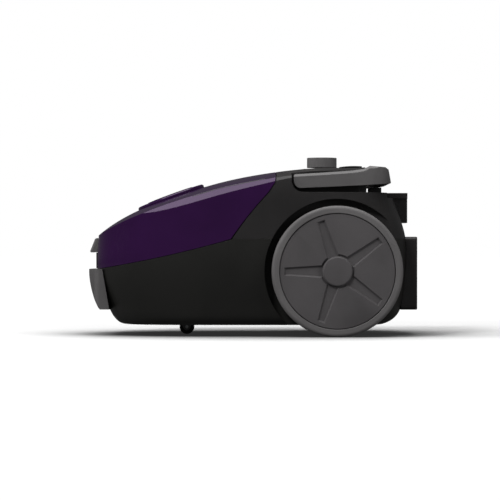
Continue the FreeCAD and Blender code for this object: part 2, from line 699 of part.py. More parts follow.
def make_stator():
    stack = motor_ring(54, 92, 21, MOTOR_R - 3)
    return stack.cut(motor_ring(53, 93, 24, 34).cut(block(50, 96, MOTOR_Y - 12, MOTOR_Y + 12, 30, 140)))


def make_impeller():
    """Fan: two discs with curved blades between them, on the motor shaft."""
    x0, x1 = MOTOR_X0 + 6, MOTOR_X0 + 20
    fan = motor_ring(x1 - 1.5, x1, 4.0, FAN_R).fuse(motor_ring(x0, x1 - 1.5, 4.0, 9))
    fan = fan.fuse(motor_ring(x0, x0 + 1.2, 23, FAN_R))
    for i in range(7):
        turn = 360.0 * i / 7
        blade = block(x0 + 1.2, x1 - 1.5, MOTOR_Y + 8, MOTOR_Y + FAN_R, MOTOR_Z - 0.8, MOTOR_Z + 0.8)
        blade.rotate(V(0, MOTOR_Y + 8, MOTOR_Z), V(1, 0, 0), 24)
        blade.rotate(V(0, MOTOR_Y, MOTOR_Z), V(1, 0, 0), turn)
        fan = fan.fuse(blade)
    return fan.common(motor_rod(x0 - 1, x1 + 1, FAN_R)).cut(motor_rod(x0 - 1, x1 + 1, 4.0))


save("motor_can", make_motor_can())
save("motor_cradle", *make_motor_cradle())
save("motor_mounts", *make_motor_mounts())
save("motor_bearings", *make_bearings())
save("motor_stator", make_stator())
save("motor_inlet_duct", motor_ring(BULKHEAD_X + WALL + 0.1, MOTOR_X0 - 0.1, 25, 28))
save("motor_shaft", motor_rod(MOTOR_X0 + 4, MOTOR_X1 + 5, 4.0))
save("fan_impeller", make_impeller())
save("motor_armature", motor_ring(56, 90, 4.0, 20.2), motor_ring(92, 100, 4.0, 12))


# ---------------------------------------------------------------- cord reel and its brake
def reel_ring(y0, y1, inner, outer):
    return ring((REEL_X, y0, REEL_Z), (0, 1, 0), inner, outer, y1 - y0)


def make_reel_drum():
    drum = reel_ring(REEL_Y0 + 1.8, REEL_Y1 - 1.8, 29, 32)
    return drum.fuse(reel_ring(46, 49, 8, 29)).fuse(reel_ring(30, 72, AXLE_R + RUNNING, 9))


def make_reel_flange(y):
    disc = reel_ring(y, y + 1.8, AXLE_R + RUNNING, REEL_R)
    for i in range(6):
        turn = 2 * math.pi * i / 6
        x, z = REEL_X + 48 * math.cos(turn), REEL_Z + 48 * math.sin(turn)
        disc = disc.cut(rod((x, y - 1, z), (0, 1, 0), 12, 4))
    return disc


def make_reel_frame():
    plate = rod((REEL_X, REEL_Y1 + 3.5, REEL_Z), (0, 1, 0), 40, 4)
    foot = block(REEL_X - 22, REEL_X + 22, REEL_Y1 + 3.5, REEL_Y1 + 7.5, 10, REEL_Z).common(INSIDE)
    return plate.fuse(foot).fuse(rod((REEL_X, 18, REEL_Z), (0, 1, 0), AXLE_R, REEL_Y1 + 5 - 18))


def make_brake_lever():
    """Rocker whose tail lies under the pedal's stem and whose head carries the roller."""
    lever = prism(profile(
        (ROLLER_X - 3.5, ROLLER_Z - 2.6), (ROLLER_X + 4, ROLLER_Z - 2.6), (LEVER_X - 4, LEVER_Z - 3.2),
        (LEVER_X + 4, LEVER_Z - 3.2), (LEVER_X + 14.5, LEVER_Z), (LEVER_X + 14.5, LEVER_Z + 2),
        (LEVER_X - 6, LEVER_Z + 3.4), (ROLLER_X - 3.5, ROLLER_Z + 2.8),
    ), LEVER_Y - 3, LEVER_Y + 3)
    lever = lever.cut(rod((LEVER_X, LEVER_Y - 5, LEVER_Z), (0, 1, 0), 1.5 + RUNNING, 10))
    lever = lever.cut(rod((ROLLER_X, LEVER_Y - 5, ROLLER_Z), (0, 1, 0), 1.5, 10))
    return lever.cut(block(ROLLER_X - 6, ROLLER_X + 5.4, LEVER_Y - 1.2, LEVER_Y + 1.2, 160, 185))


def make_brake_roller():
    wheel = rod((ROLLER_X, LEVER_Y - 1, ROLLER_Z), (0, 1, 0), 5, 2)
    return wheel.fuse(rod((ROLLER_X, LEVER_Y - 3, ROLLER_Z), (0, 1, 0), 1.5, 6))


def make_carrier():
    """Plate under the deck that holds the circuit board and the brake lever, hung on four posts."""
    plate = rounded_block(60, 134, -70, 44, CARRIER_Z, CARRIER_Z + 2, 4.0)
    plate = plate.cut(block(
        ROLLER_X - 8, ROLLER_X + 8, LEVER_Y - 4, LEVER_Y + 4, CARRIER_Z - 1, CARRIER_Z + 3))
    for x in (66, 129):
        for y in (-64, 41):
            plate = plate.fuse(rod((x, y, CARRIER_Z + 1), (0, 0, 1), 2.6, 50).common(INSIDE))
    for y0, y1 in ((LEVER_Y - 7.5, LEVER_Y - 3.3), (LEVER_Y + 3.3, LEVER_Y + 7.5)):
        cheek = prism(profile((LEVER_X - 6, CARRIER_Z + 1), (LEVER_X + 6, CARRIER_Z + 1),
                              (LEVER_X + 4, LEVER_Z + 3.5), (LEVER_X - 4, LEVER_Z + 3.5)), y0, y1)
        plate = plate.fuse(cheek)
    for x, y in BOARD_FEET:
        plate = plate.fuse(rod((x, y, CARRIER_Z + 1), (0, 0, 1), 2.5, 2))
    return plate.fuse(rod((LEVER_X, LEVER_Y - 7.5, LEVER_Z), (0, 1, 0), 1.5, 15))


def make_board_parts():
    """Capacitors, a choke, a finned heat sink, a relay and, last, the power switch."""
    z = CARRIER_Z + 4.6
    parts = [rod((70, -48, z), (0, 0, 1), 5, 14), rod((83, -50, z), (0, 0, 1), 4, 10)]
    sink = block(96, 110, -52, -34, z, z + 14)
    for x in (98.0, 101.0, 104.0, 107.0):
        sink = sink.cut(block(x, x + 1.4, -53, -33, z + 2.5, z + 15))
    parts.append(sink)
    parts.append(block(66, 76, -30, -20, z, z + 9))
    parts.append(block(121, 131, -56, -42, z, z + 8))
    parts.append(rounded_block(113, 129, -29, -13, z, 184.6, 1.5))
    return parts


BOARD_FEET = [(65, -57), (65, 13), (129, -57), (129, 13)]
save("reel_drum", make_reel_drum())
save("reel_flanges", make_reel_flange(REEL_Y0), make_reel_flange(REEL_Y1 - 1.8))
save("rewind_spring", reel_ring(50, 66, 12, 26))
save("reel_frame", make_reel_frame())
save("brake_lever", make_brake_lever())
save("brake_roller", make_brake_roller())
save("board_carrier", make_carrier())
save("circuit_board", block(61, 133, -61, 16, CARRIER_Z + 3, CARRIER_Z + 4.6))
save("board_parts", *make_board_parts())
save("suction_control", rounded_block(KNOB_X - 9, KNOB_X + 9, -9, 9, CARRIER_Z + 4.6, 182, 2.0).cut(
    rod((KNOB_X, 0, 174.6), (0, 0, 1), 3.0 + RUNNING, 20)))


# ---------------------------------------------------------------- rear wheels
def axle_rod(side, y0, y1, radius):
    return rod((WHEEL_X, side * y0, WHEEL_R), (0, side, 0), radius, y1 - y0)


def axle_ring(side, y0, y1, inner, outer):
    return axle_rod(side, y0, y1, outer).cut(axle_rod(side, y0 - 1, y1 + 1, inner))


def make_rim(side):
    rim = axle_ring(side, WHEEL_IN + 1, 124.8, RIM_R - 3, RIM_R)
    rim = rim.fuse(axle_rod(side, 112, 115, RIM_R - 2)).fuse(axle_rod(side, WHEEL_IN, 120, 13))
    for i in range(6):
        across = sorted((side * 104, side * 113))
        rib = block(WHEEL_X + 10, WHEEL_X + RIM_R - 2, *across, WHEEL_R - 1.2, WHEEL_R + 1.2)
        rib.rotate(V(WHEEL_X, 0, WHEEL_R), V(0, 1, 0), 60.0 * i)
        rim = rim.fuse(rib)
    return rim.cut(axle_rod(side, 90, 130, AXLE_R + RUNNING))


def make_tyre(side):
    tyre = axle_ring(side, WHEEL_IN - 0.5, 130, RIM_R, WHEEL_R)
    return rounded(tyre, 3.6, lambda e: e.Closed and e.BoundBox.ZLength > 2 * WHEEL_R - 1)


def star_arm(side):
    """Tool for one ray of the sunk star: a tapering trough with sloping walls."""
    wires = []
    for depth in (-0.6, STAR_DEPTH):
        slope = depth * STAR_SLOPE
        y = side * (COVER_OUT - depth)
        root, tip, end = 8.6 - slope, 4.65 - slope, 63.0 - slope
        wires.append(Part.makePolygon(
            [V(0, y, -root), V(end, y, -tip), V(end, y, tip), V(0, y, root), V(0, y, -root)]))
    return Part.makeLoft(wires, True, True)


def make_wheel_cover(side):
    """Wheel disc with a sunk five-pointed star and a raised hub cap."""
    disc = axle_rod(side, 125, COVER_OUT, RIM_R - 0.5)
    edge = [e for e in disc.Edges if e.Closed and abs(e.BoundBox.YMax - side * COVER_OUT) < 0.01]
    disc = disc.makeFillet(1.2, edge)
    floor = COVER_OUT - STAR_DEPTH
    dish_at = V(WHEEL_X, side * floor, WHEEL_R)
    disc = disc.cut(Part.makeCone(19.0, 19.0 + 3 * STAR_SLOPE, 3, dish_at, V(0, side, 0)))
    for i in range(SPOKES):
        arm = star_arm(side)
        arm.translate(V(WHEEL_X, 0, WHEEL_R))
        arm.rotate(V(WHEEL_X, 0, WHEEL_R), V(0, 1, 0), 180 + 360.0 * i / SPOKES)
        disc = disc.cut(arm)
    cap = axle_rod(side, floor, WHEEL_OUT, 17.8)
    rim = [e for e in cap.Edges if e.Closed and abs(abs(e.BoundBox.YMax) - WHEEL_OUT) < 0.01]
    return disc.fuse(cap.makeFillet(2.2, rim))


for name, side in (("left", -1), ("right", 1)):
    save(name + "_rim", make_rim(side))
    save(name + "_tyre", make_tyre(side))
    save(name + "_wheel_cover", make_wheel_cover(side))
save("wheel_axles", axle_rod(-1, AXLE_BOSS_IN, 123, AXLE_R), axle_rod(1, AXLE_BOSS_IN, 123, AXLE_R))
save("wheel_clips", axle_ring(-1, 120.3, 121.7, AXLE_R, 8.5), axle_ring(1, 120.3, 121.7, AXLE_R, 8.5))


# ---------------------------------------------------------------- front caster
def make_fork():
    axle_x = CASTER_X + CASTER_TRAIL
    fork = rod((CASTER_X, 0, 19.6), (0, 0, 1), 19.0, 2.8)
    for y0, y1 in ((CASTER_HALF + 0.5, 10.2), (-10.2, -CASTER_HALF - 0.5)):
        cheek = prism(profile(
            (CASTER_X - 5, 20), (axle_x - 4.5, 8), ((axle_x, 4.6), (axle_x + 4.5, 8)), (axle_x + 7.5, 20),
        ), y0, y1)
        fork = fork.fuse(cheek)
    fork = fork.fuse(rod((CASTER_X, 0, 20), (0, 0, 1), CASTER_PIN_R, CASTER_BOSS_TOP + 3 - 20))
    fork = fork.fuse(rod((CASTER_X, 0, 22), (0, 0, 1), 8, 1.7))
    return fork.cut(rod((axle_x, -20, CASTER_R), (0, 1, 0), 2.0, 40))


def make_caster_wheel():
    x = CASTER_X + CASTER_TRAIL
    wheel = rod((x, -CASTER_HALF, CASTER_R), (0, 1, 0), CASTER_R, 2 * CASTER_HALF)
    wheel = rounded(wheel, 1.5, lambda e: e.Closed)
    return wheel.cut(rod((x, -20, CASTER_R), (0, 1, 0), 2.0 + RUNNING, 40))


save("caster_fork", make_fork())
save("caster_axle", rod((CASTER_X + CASTER_TRAIL, -10.2, CASTER_R), (0, 1, 0), 2.0, 20.4))
save("caster_clip", ring((CASTER_X, 0, CASTER_BOSS_TOP + 0.4), (0, 0, 1), CASTER_PIN_R, 7, 1.2))
save("caster_wheel", make_caster_wheel())


# ---------------------------------------------------------------- exhaust cover
def cover_box(inset):
    box = bowed_block(COVER_X - inset, 180, COVER_HALF - inset, COVER_BOW, COVER_Z0 + inset, COVER_Z1 - inset)
    box = rounded(box, 5.0 - inset, along_x)
    return box


def make_exhaust_cover():
    """Bowed box on the tail with level slats, open towards the body."""
    box = rounded(cover_box(0), 1.6, lambda e: e.BoundBox.XMin > 190).cut(cover_box(2.5))
    box = box.cut(block(170, 190, -COVER_HALF + 2.5, COVER_HALF - 2.5, COVER_Z0 + 2.5, COVER_Z1 - 2.5))
    for i in range(9):
        z = VENT_Z0 + 1 + i * 8.0
        box = box.cut(block(185, 210, -VENT_HALF, -2, z, z + 4)).cut(block(185, 210, 2, VENT_HALF, z, z + 4))
    return box.cut(OUTSIDE)


save("exhaust_cover", make_exhaust_cover())
save("exhaust_filter", block(
    188.5, 193.5, -COVER_HALF + 3.6, COVER_HALF - 3.6, COVER_Z0 + 3.6, COVER_Z1 - 3.6))
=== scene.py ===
"""Cylinder vacuum cleaner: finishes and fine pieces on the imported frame.

The file is laid out as an add-on and run as a script. Every piece keeps the frame's place and scale, in
metres, with the nose towards -X. Sizes come from the frame's own nodes, and what a user would change is a
property.
"""

import json
import math

import bmesh
import bpy
from bpy.props import FloatProperty, FloatVectorProperty, IntProperty, PointerProperty
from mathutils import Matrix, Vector, noise
from mathutils.bvhtree import BVHTree

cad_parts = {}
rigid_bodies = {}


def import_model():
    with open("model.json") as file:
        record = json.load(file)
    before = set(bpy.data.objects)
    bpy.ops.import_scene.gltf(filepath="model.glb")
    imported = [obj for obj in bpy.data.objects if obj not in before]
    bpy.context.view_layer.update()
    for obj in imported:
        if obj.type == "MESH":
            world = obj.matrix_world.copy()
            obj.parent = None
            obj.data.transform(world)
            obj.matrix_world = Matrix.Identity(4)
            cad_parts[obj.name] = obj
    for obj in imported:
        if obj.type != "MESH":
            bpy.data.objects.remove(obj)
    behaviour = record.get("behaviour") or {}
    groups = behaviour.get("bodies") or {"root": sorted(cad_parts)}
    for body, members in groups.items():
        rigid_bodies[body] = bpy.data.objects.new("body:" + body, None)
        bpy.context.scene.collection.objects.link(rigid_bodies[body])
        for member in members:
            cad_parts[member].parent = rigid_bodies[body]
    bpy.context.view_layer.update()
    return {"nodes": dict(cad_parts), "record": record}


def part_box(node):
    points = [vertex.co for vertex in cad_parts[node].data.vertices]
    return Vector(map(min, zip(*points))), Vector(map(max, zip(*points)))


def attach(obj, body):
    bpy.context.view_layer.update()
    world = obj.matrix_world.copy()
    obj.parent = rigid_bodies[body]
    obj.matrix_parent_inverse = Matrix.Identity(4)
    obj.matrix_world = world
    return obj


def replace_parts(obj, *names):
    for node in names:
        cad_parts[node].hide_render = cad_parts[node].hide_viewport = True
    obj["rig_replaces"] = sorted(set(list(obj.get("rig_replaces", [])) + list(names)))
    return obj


bl_info = {
    "name": "Cylinder Vacuum Cleaner",
    "version": (1, 0, 0),
    "blender": (4, 5, 0),
    "location": "View3D > Sidebar > Vacuum",
    "description": "Builds the finished look of a cylinder vacuum cleaner on its engineering frame",
    "category": "Object",
}

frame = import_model()
BODY_OF = {node: body for body, nodes in frame["record"]["behaviour"]["bodies"].items() for node in nodes}
SLOT_OF = {part["node"]: part["material_slot"] for part in frame["record"]["subparts"]}
MM = 0.001


def middle(node):
    low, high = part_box(node)
    return (low + high) / 2


# ---------------------------------------------------------------- settings
def colour_property(name, description, default):
    return FloatVectorProperty(
        name=name, description=description, subtype="COLOR", size=3, min=0, max=1, default=default
    )


def length_property(name, description, default):
    return FloatProperty(
        name=name, description=description, default=default, min=0, subtype="DISTANCE", unit="LENGTH"
    )


class VacuumColours(bpy.types.PropertyGroup):
    """Colours of the mouldings."""

    lid: colour_property("Lid", "High gloss moulding of the lid", (0.026, 0.0058, 0.043))
    body: colour_property("Body", "Black moulding of the lower shell", (0.0168, 0.0166, 0.0156))
    # The rear shell is the same black moulding as the lower shell; its lighter tone is painted light,
    # standing in for the stronger light that falls on the upper rear.
    rear: colour_property("Rear", "Charcoal moulding of the rear shell", (0.0225, 0.0214, 0.0216))
    trim: colour_property("Trim", "Grey of the bumper, handle and knob", (0.120, 0.116, 0.117))
    wheel: colour_property("Wheel", "Grey of the wheel discs", (0.093, 0.088, 0.0905))
    tyre: colour_property("Tyre", "Grey of the wheel rims", (0.135, 0.130, 0.131))
    fleece: colour_property("Fleece", "Cloth of the dust bag", (0.78, 0.76, 0.70))


class VacuumSizes(bpy.types.PropertyGroup):
    """Fine sizes that the frame leaves open."""

    edge: length_property("Edge", "Radius that every moulded edge seems to have", 0.0005)
    line: length_property("Line", "Half width of moulded lines and symbols", 0.0005)
    tread_groove: length_property("Tread groove", "Depth of the grooves round each tyre", 0.0006)
    tread_grooves: IntProperty(name="Tread grooves", description="Grooves round each tyre", default=5, min=0)
    grip_ribs: IntProperty(name="Grip ribs", description="Ribs across the grip's soft pad", default=36, min=2)
    tab_ribs: IntProperty(name="Tab ribs", description="Ribs across the latch tab", default=5, min=2)
    dial_dots: IntProperty(name="Dial dots", description="Raised dots round the knob", default=11, min=2)
    pleat: length_property("Pleat", "Pitch of the folds of both filters", 0.0038)
    bag_pressure: FloatProperty(
        name="Bag pressure", description="Air that fills out the dust bag", default=4, min=0
    )


class VacuumStage(bpy.types.PropertyGroup):
    """Camera, floor and lights."""

    distance: length_property("Camera distance", "From the machine's middle", 3.08)
    height: length_property("Camera height", "Above the floor", 0.1035)
    aside: FloatProperty(name="Camera aside", description="Along the machine", default=-0.0032, unit="LENGTH")
    lens: FloatProperty(name="Lens", description="Focal length on a 36 mm sensor", default=179.5, min=10)
    top_light: FloatProperty(name="Top light", description="Power of the softbox above", default=22, min=0)
    side_light: FloatProperty(
        name="Side light", description="Power of the panel before the nose", default=20, min=0
    )
    key_light: FloatProperty(
        name="Key light", description="Power of the light at the upper left", default=45, min=0
    )
    fill_light: FloatProperty(
        name="Fill light", description="Power of the panel past the tail", default=16, min=0
    )
    sky: FloatProperty(name="Room light", description="Even light of the room", default=0.07, min=0)


# ---------------------------------------------------------------- shader groups
def new_group(name, inputs, outputs):
    """Shader group with float or vector sockets. Returns the tree, its input node and its output node."""
    tree = bpy.data.node_groups.new(name, "ShaderNodeTree")
    for label, kind, value in inputs:
        socket = tree.interface.new_socket(label, in_out="INPUT", socket_type="NodeSocket" + kind)
        if value is not None:
            socket.default_value = value
    for label, kind in outputs:
        tree.interface.new_socket(label, in_out="OUTPUT", socket_type="NodeSocket" + kind)
    return tree, tree.nodes.new("NodeGroupInput"), tree.nodes.new("NodeGroupOutput")


def math_node(tree, operation, a, b=None, c=None, clamp=False):
    node = tree.nodes.new("ShaderNodeMath")
    node.operation = operation
    node.use_clamp = clamp
    for socket, value in zip(node.inputs, (a, b, c)):
        if value is None:
            continue
        if isinstance(value, (int, float)):
            socket.default_value = value
        else:
            tree.links.new(value, socket)
    return node.outputs[0]


def span(tree, value, low, high, to_low=0.0, to_high=1.0):
    node = tree.nodes.new("ShaderNodeMapRange")
    node.interpolation_type = "SMOOTHSTEP"
    tree.links.new(value, node.inputs["Value"])
    for label, number in (("From Min", low), ("From Max", high), ("To Min", to_low), ("To Max", to_high)):
        node.inputs[label].default_value = number
    return node.outputs[0]


def noise_node(tree, vector, scale, detail=3.0, roughness=0.55):
    node = tree.nodes.new("ShaderNodeTexNoise")
    tree.links.new(vector, node.inputs["Vector"])
    if isinstance(scale, (int, float)):
        node.inputs["Scale"].default_value = scale
    else:
        tree.links.new(scale, node.inputs["Scale"])
    node.inputs["Detail"].default_value = detail
    node.inputs["Roughness"].default_value = roughness
    return node.outputs[0]


def moulded_grain_group():
    """Fine spark-eroded grain of a mould, with slow drifts in gloss."""
    tree, enter, leave = new_group(
        "Moulded grain",
        [("Vector", "Vector", None), ("Scale", "Float", 900.0), ("Depth", "Float", 1.0)],
        [("Height", "Float"), ("Drift", "Float")],
    )
    fine = noise_node(tree, enter.outputs["Vector"], enter.outputs["Scale"], 2.0)
    pits = tree.nodes.new("ShaderNodeTexVoronoi")
    pits.feature = "SMOOTH_F1"
    tree.links.new(enter.outputs["Vector"], pits.inputs["Vector"])
    tree.links.new(enter.outputs["Scale"], pits.inputs["Scale"])
    height = math_node(tree, "ADD", fine, math_node(tree, "MULTIPLY", pits.outputs["Distance"], 0.6))
    tree.links.new(math_node(tree, "MULTIPLY", height, enter.outputs["Depth"]), leave.inputs["Height"])
    slow = noise_node(tree, enter.outputs["Vector"], 14.0, 4.0)
    tree.links.new(span(tree, slow, 0.3, 0.7), leave.inputs["Drift"])
    return tree


def edge_wear_group():
    """Rounds edges in the shading and marks where hands and furniture rub them."""
    tree, enter, leave = new_group(
        "Edge wear",
        [("Vector", "Vector", None), ("Amount", "Float", 0.4)],
        [("Mask", "Float"), ("Normal", "Vector")],
    )
    bevel = tree.nodes.new("ShaderNodeBevel")
    bevel.samples = 4
    bevel.inputs["Radius"].default_value = bpy.context.scene.vacuum_sizes.edge
    plain = tree.nodes.new("ShaderNodeNewGeometry")
    dot = tree.nodes.new("ShaderNodeVectorMath")
    dot.operation = "DOT_PRODUCT"
    tree.links.new(bevel.outputs[0], dot.inputs[0])
    tree.links.new(plain.outputs["Normal"], dot.inputs[1])
    edge = span(tree, dot.outputs["Value"], 0.995, 0.90)
    patchy = span(tree, noise_node(tree, enter.outputs["Vector"], 60.0, 4.0), 0.42, 0.62)
    mask = math_node(tree, "MULTIPLY", edge, patchy)
    tree.links.new(math_node(tree, "MULTIPLY", mask, enter.outputs["Amount"]), leave.inputs["Mask"])
    tree.links.new(bevel.outputs[0], leave.inputs["Normal"])
    return tree


def settled_dust_group():
    """Thin dust on faces that look up, thicker in patches."""
    tree, enter, leave = new_group(
        "Settled dust",
        [("Vector", "Vector", None), ("Normal", "Vector", None), ("Amount", "Float", 0.2)],
        [("Mask", "Float")],
    )
    parts = tree.nodes.new("ShaderNodeSeparateXYZ")
    tree.links.new(enter.outputs["Normal"], parts.inputs[0])
    up = span(tree, parts.outputs["Z"], 0.35, 0.95)
    patchy = span(tree, noise_node(tree, enter.outputs["Vector"], 38.0, 6.0, 0.65), 0.38, 0.72)
    mask = math_node(tree, "MULTIPLY", up, patchy)
    tree.links.new(math_node(tree, "MULTIPLY", mask, enter.outputs["Amount"]), leave.inputs["Mask"])
    return tree


def hairlines_group():
    """Sparse fine scratches that wiping leaves in a gloss surface."""
    tree, enter, leave = new_group(
        "Hairlines",
        [("Vector", "Vector", None), ("Amount", "Float", 0.2)],
        [("Mask", "Float")],
    )
    stretch = tree.nodes.new("ShaderNodeMapping")
    tree.links.new(enter.outputs["Vector"], stretch.inputs["Vector"])
    stretch.inputs["Rotation"].default_value = (0.3, 0.5, 0.9)
    stretch.inputs["Scale"].default_value = (22.0, 420.0, 420.0)
    lines = noise_node(tree, stretch.outputs[0], 1.0, 2.0)
    thin = span(tree, lines, 0.62, 0.72)
    tree.links.new(math_node(tree, "MULTIPLY", thin, enter.outputs["Amount"]), leave.inputs["Mask"])
    return tree


GROUP_MAKERS = {
    "Moulded grain": moulded_grain_group,
    "Edge wear": edge_wear_group,
    "Settled dust": settled_dust_group,
    "Hairlines": hairlines_group,
}


def group_node(tree, name, **values):
    """Places a shared group in a material. Keywords set its inputs, with a space for each underscore."""
    node = tree.nodes.new("ShaderNodeGroup")
    node.node_tree = bpy.data.node_groups.get(name) or GROUP_MAKERS[name]()
    for label, value in values.items():
        socket = node.inputs[label.replace("_", " ")]
        if isinstance(value, (int, float)):
            socket.default_value = value
        else:
            tree.links.new(value, socket)
    return node


# ---------------------------------------------------------------- materials
def rgba(colour, factor=1.0):
    return tuple(min(1.0, c * factor) for c in colour) + (1.0,)


def start_material(name):
    material = bpy.data.materials.new(name)
    material.use_nodes = True
    tree = material.node_tree
    shader = tree.nodes["Principled BSDF"]
    place = tree.nodes.new("ShaderNodeTexCoord")
    return material, tree, shader, place


def mix_colour(tree, factor, a, b):
    node = tree.nodes.new("ShaderNodeMix")
    node.data_type = "RGBA"
    tree.links.new(factor, node.inputs["Factor"])
    for socket, value in ((node.inputs["A"], a), (node.inputs["B"], b)):
        if isinstance(value, tuple):
            socket.default_value = value
        else:
            tree.links.new(value, socket)
    return node.outputs["Result"]


def plastic(name, colour, rough, grain=900.0, depth=0.25, wear=0.35, dust=0.12, coat=0.0, specular=0.5,
            rub=0.0, tint=None):
    """Moulded plastic: grain, drifting gloss, rubbed edges, a little dust and, if glossy, hairlines."""
    made = bpy.data.materials.get(name)
    if made:
        return made
    material, tree, shader, place = start_material(name)
    where = place.outputs["Object"]
    moulded = group_node(tree, "Moulded grain", Vector=where, Scale=grain, Depth=depth)
    worn = group_node(tree, "Edge wear", Vector=where, Amount=wear)
    dusty = group_node(tree, "Settled dust", Vector=where, Normal=place.outputs["Normal"], Amount=dust)
    base = mix_colour(tree, moulded.outputs["Drift"], rgba(colour, 0.90), rgba(colour, 1.10))
    base = mix_colour(tree, worn.outputs["Mask"], base, rgba([c * 1.5 + 0.02 for c in colour]))
    base = mix_colour(tree, dusty.outputs["Mask"], base, (0.30, 0.28, 0.26, 1.0))
    tree.links.new(base, shader.inputs["Base Color"])
    gloss = math_node(tree, "MULTIPLY_ADD", moulded.outputs["Drift"], rough * 0.22, rough * 0.89)
    gloss = math_node(tree, "MULTIPLY_ADD", dusty.outputs["Mask"], 0.5, gloss)
    if rub:
        lines = group_node(tree, "Hairlines", Vector=where, Amount=rub)
        gloss = math_node(tree, "ADD", gloss, lines.outputs["Mask"])
    tree.links.new(math_node(tree, "MINIMUM", gloss, 1.0), shader.inputs["Roughness"])
    shader.inputs["Specular IOR Level"].default_value = specular
    if tint:
        shader.inputs["Specular Tint"].default_value = rgba(tint)
    if coat:
        shader.inputs["Coat Weight"].default_value = coat
        shader.inputs["Coat Roughness"].default_value = 0.05
    bump = tree.nodes.new("ShaderNodeBump")
    bump.inputs["Strength"].default_value = 0.35
    bump.inputs["Distance"].default_value = 0.00012
    tree.links.new(moulded.outputs["Height"], bump.inputs["Height"])
    tree.links.new(worn.outputs["Normal"], bump.inputs["Normal"])
    tree.links.new(bump.outputs[0], shader.inputs["Normal"])
    return material


def metal(name, colour, rough, brushed=(1.0, 1.0, 1.0), patina=0.25):
    """Bare or plated metal with brushed lines and a patchy film."""
    made = bpy.data.materials.get(name)
    if made:
        return made
    material, tree, shader, place = start_material(name)
    where = place.outputs["Object"]
    stretch = tree.nodes.new("ShaderNodeMapping")
    tree.links.new(where, stretch.inputs["Vector"])
    stretch.inputs["Scale"].default_value = [900.0 * axis for axis in brushed]
    lines = noise_node(tree, stretch.outputs[0], 1.0, 3.0)
    film = span(tree, noise_node(tree, where, 70.0, 5.0), 0.35, 0.7)
    worn = group_node(tree, "Edge wear", Vector=where, Amount=0.3)
    base = mix_colour(tree, film, rgba(colour), rgba(colour, 1.0 - patina))
    base = mix_colour(tree, worn.outputs["Mask"], base, rgba(colour, 1.25))
    tree.links.new(base, shader.inputs["Base Color"])
    shader.inputs["Metallic"].default_value = 1.0
    tree.links.new(math_node(tree, "MULTIPLY_ADD", lines, 0.2, rough), shader.inputs["Roughness"])
    bump = tree.nodes.new("ShaderNodeBump")
    bump.inputs["Strength"].default_value = 0.25
    bump.inputs["Distance"].default_value = 0.00008
    tree.links.new(lines, bump.inputs["Height"])
    tree.links.new(worn.outputs["Normal"], bump.inputs["Normal"])
    tree.links.new(bump.outputs[0], shader.inputs["Normal"])
    return material


def fleece(name, colour, thread=1600.0):
    """Non-woven cloth: matted fibres, faint calender dots and grey dust worked into the surface."""
    made = bpy.data.materials.get(name)
    if made:
        return made
    material, tree, shader, place = start_material(name)
    where = place.outputs["Object"]
    fibres = noise_node(tree, where, thread, 5.0, 0.75)
    dots = tree.nodes.new("ShaderNodeTexVoronoi")
    dots.inputs["Scale"].default_value = 420.0
    dots.inputs["Randomness"].default_value = 0.25
    tree.links.new(where, dots.inputs["Vector"])
    pressed = span(tree, dots.outputs["Distance"], 0.15, 0.35)
    grey = span(tree, noise_node(tree, where, 16.0, 5.0), 0.4, 0.75)
    base = mix_colour(tree, fibres, rgba(colour, 0.8), rgba(colour, 1.08))
    base = mix_colour(tree, math_node(tree, "MULTIPLY", grey, 0.35), base, (0.42, 0.40, 0.37, 1.0))
    tree.links.new(base, shader.inputs["Base Color"])
    shader.inputs["Roughness"].default_value = 0.95
    shader.inputs["Sheen Weight"].default_value = 0.25
    height = math_node(tree, "ADD", fibres, math_node(tree, "MULTIPLY", pressed, 0.8))
    bump = tree.nodes.new("ShaderNodeBump")
    bump.inputs["Strength"].default_value = 0.5
    bump.inputs["Distance"].default_value = 0.0003
    tree.links.new(height, bump.inputs["Height"])
    tree.links.new(bump.outputs[0], shader.inputs["Normal"])
    return material


def windings(name):
    """Varnished copper wire laid side by side."""
    made = bpy.data.materials.get(name)
    if made:
        return made
    material, tree, shader, place = start_material(name)
    wires = tree.nodes.new("ShaderNodeTexWave")
    wires.bands_direction = "X"
    wires.inputs["Scale"].default_value = 420.0
    wires.inputs["Distortion"].default_value = 1.2
    tree.links.new(place.outputs["Object"], wires.inputs["Vector"])
    tree.links.new(
        mix_colour(tree, wires.outputs["Fac"], (0.10, 0.035, 0.015, 1.0), (0.50, 0.19, 0.08, 1.0)),
        shader.inputs["Base Color"],
    )
    shader.inputs["Metallic"].default_value = 0.7
    gloss = math_node(tree, "MULTIPLY_ADD", wires.outputs["Fac"], -0.2, 0.5)
    tree.links.new(gloss, shader.inputs["Roughness"])
    bump = tree.nodes.new("ShaderNodeBump")
    bump.inputs["Strength"].default_value = 0.6
    bump.inputs["Distance"].default_value = 0.0003
    tree.links.new(wires.outputs["Fac"], bump.inputs["Height"])
    tree.links.new(bump.outputs[0], shader.inputs["Normal"])
    return material


def circuit(name):
    """Lacquered board with paler tracks."""
    made = bpy.data.materials.get(name)
    if made:
        return made
    material, tree, shader, place = start_material(name)
    cells = tree.nodes.new("ShaderNodeTexVoronoi")
    cells.distance = "MANHATTAN"
    cells.feature = "DISTANCE_TO_EDGE"
    cells.inputs["Scale"].default_value = 110.0
    tree.links.new(place.outputs["Object"], cells.inputs["Vector"])
    track = span(tree, cells.outputs["Distance"], 0.10, 0.05)
    base = mix_colour(tree, track, (0.012, 0.07, 0.03, 1.0), (0.05, 0.20, 0.07, 1.0))
    tree.links.new(base, shader.inputs["Base Color"])
    shader.inputs["Roughness"].default_value = 0.3
    bump = tree.nodes.new("ShaderNodeBump")
    bump.inputs["Strength"].default_value = 0.5
    bump.inputs["Distance"].default_value = 0.0001
    tree.links.new(track, bump.inputs["Height"])
    tree.links.new(bump.outputs[0], shader.inputs["Normal"])
    return material


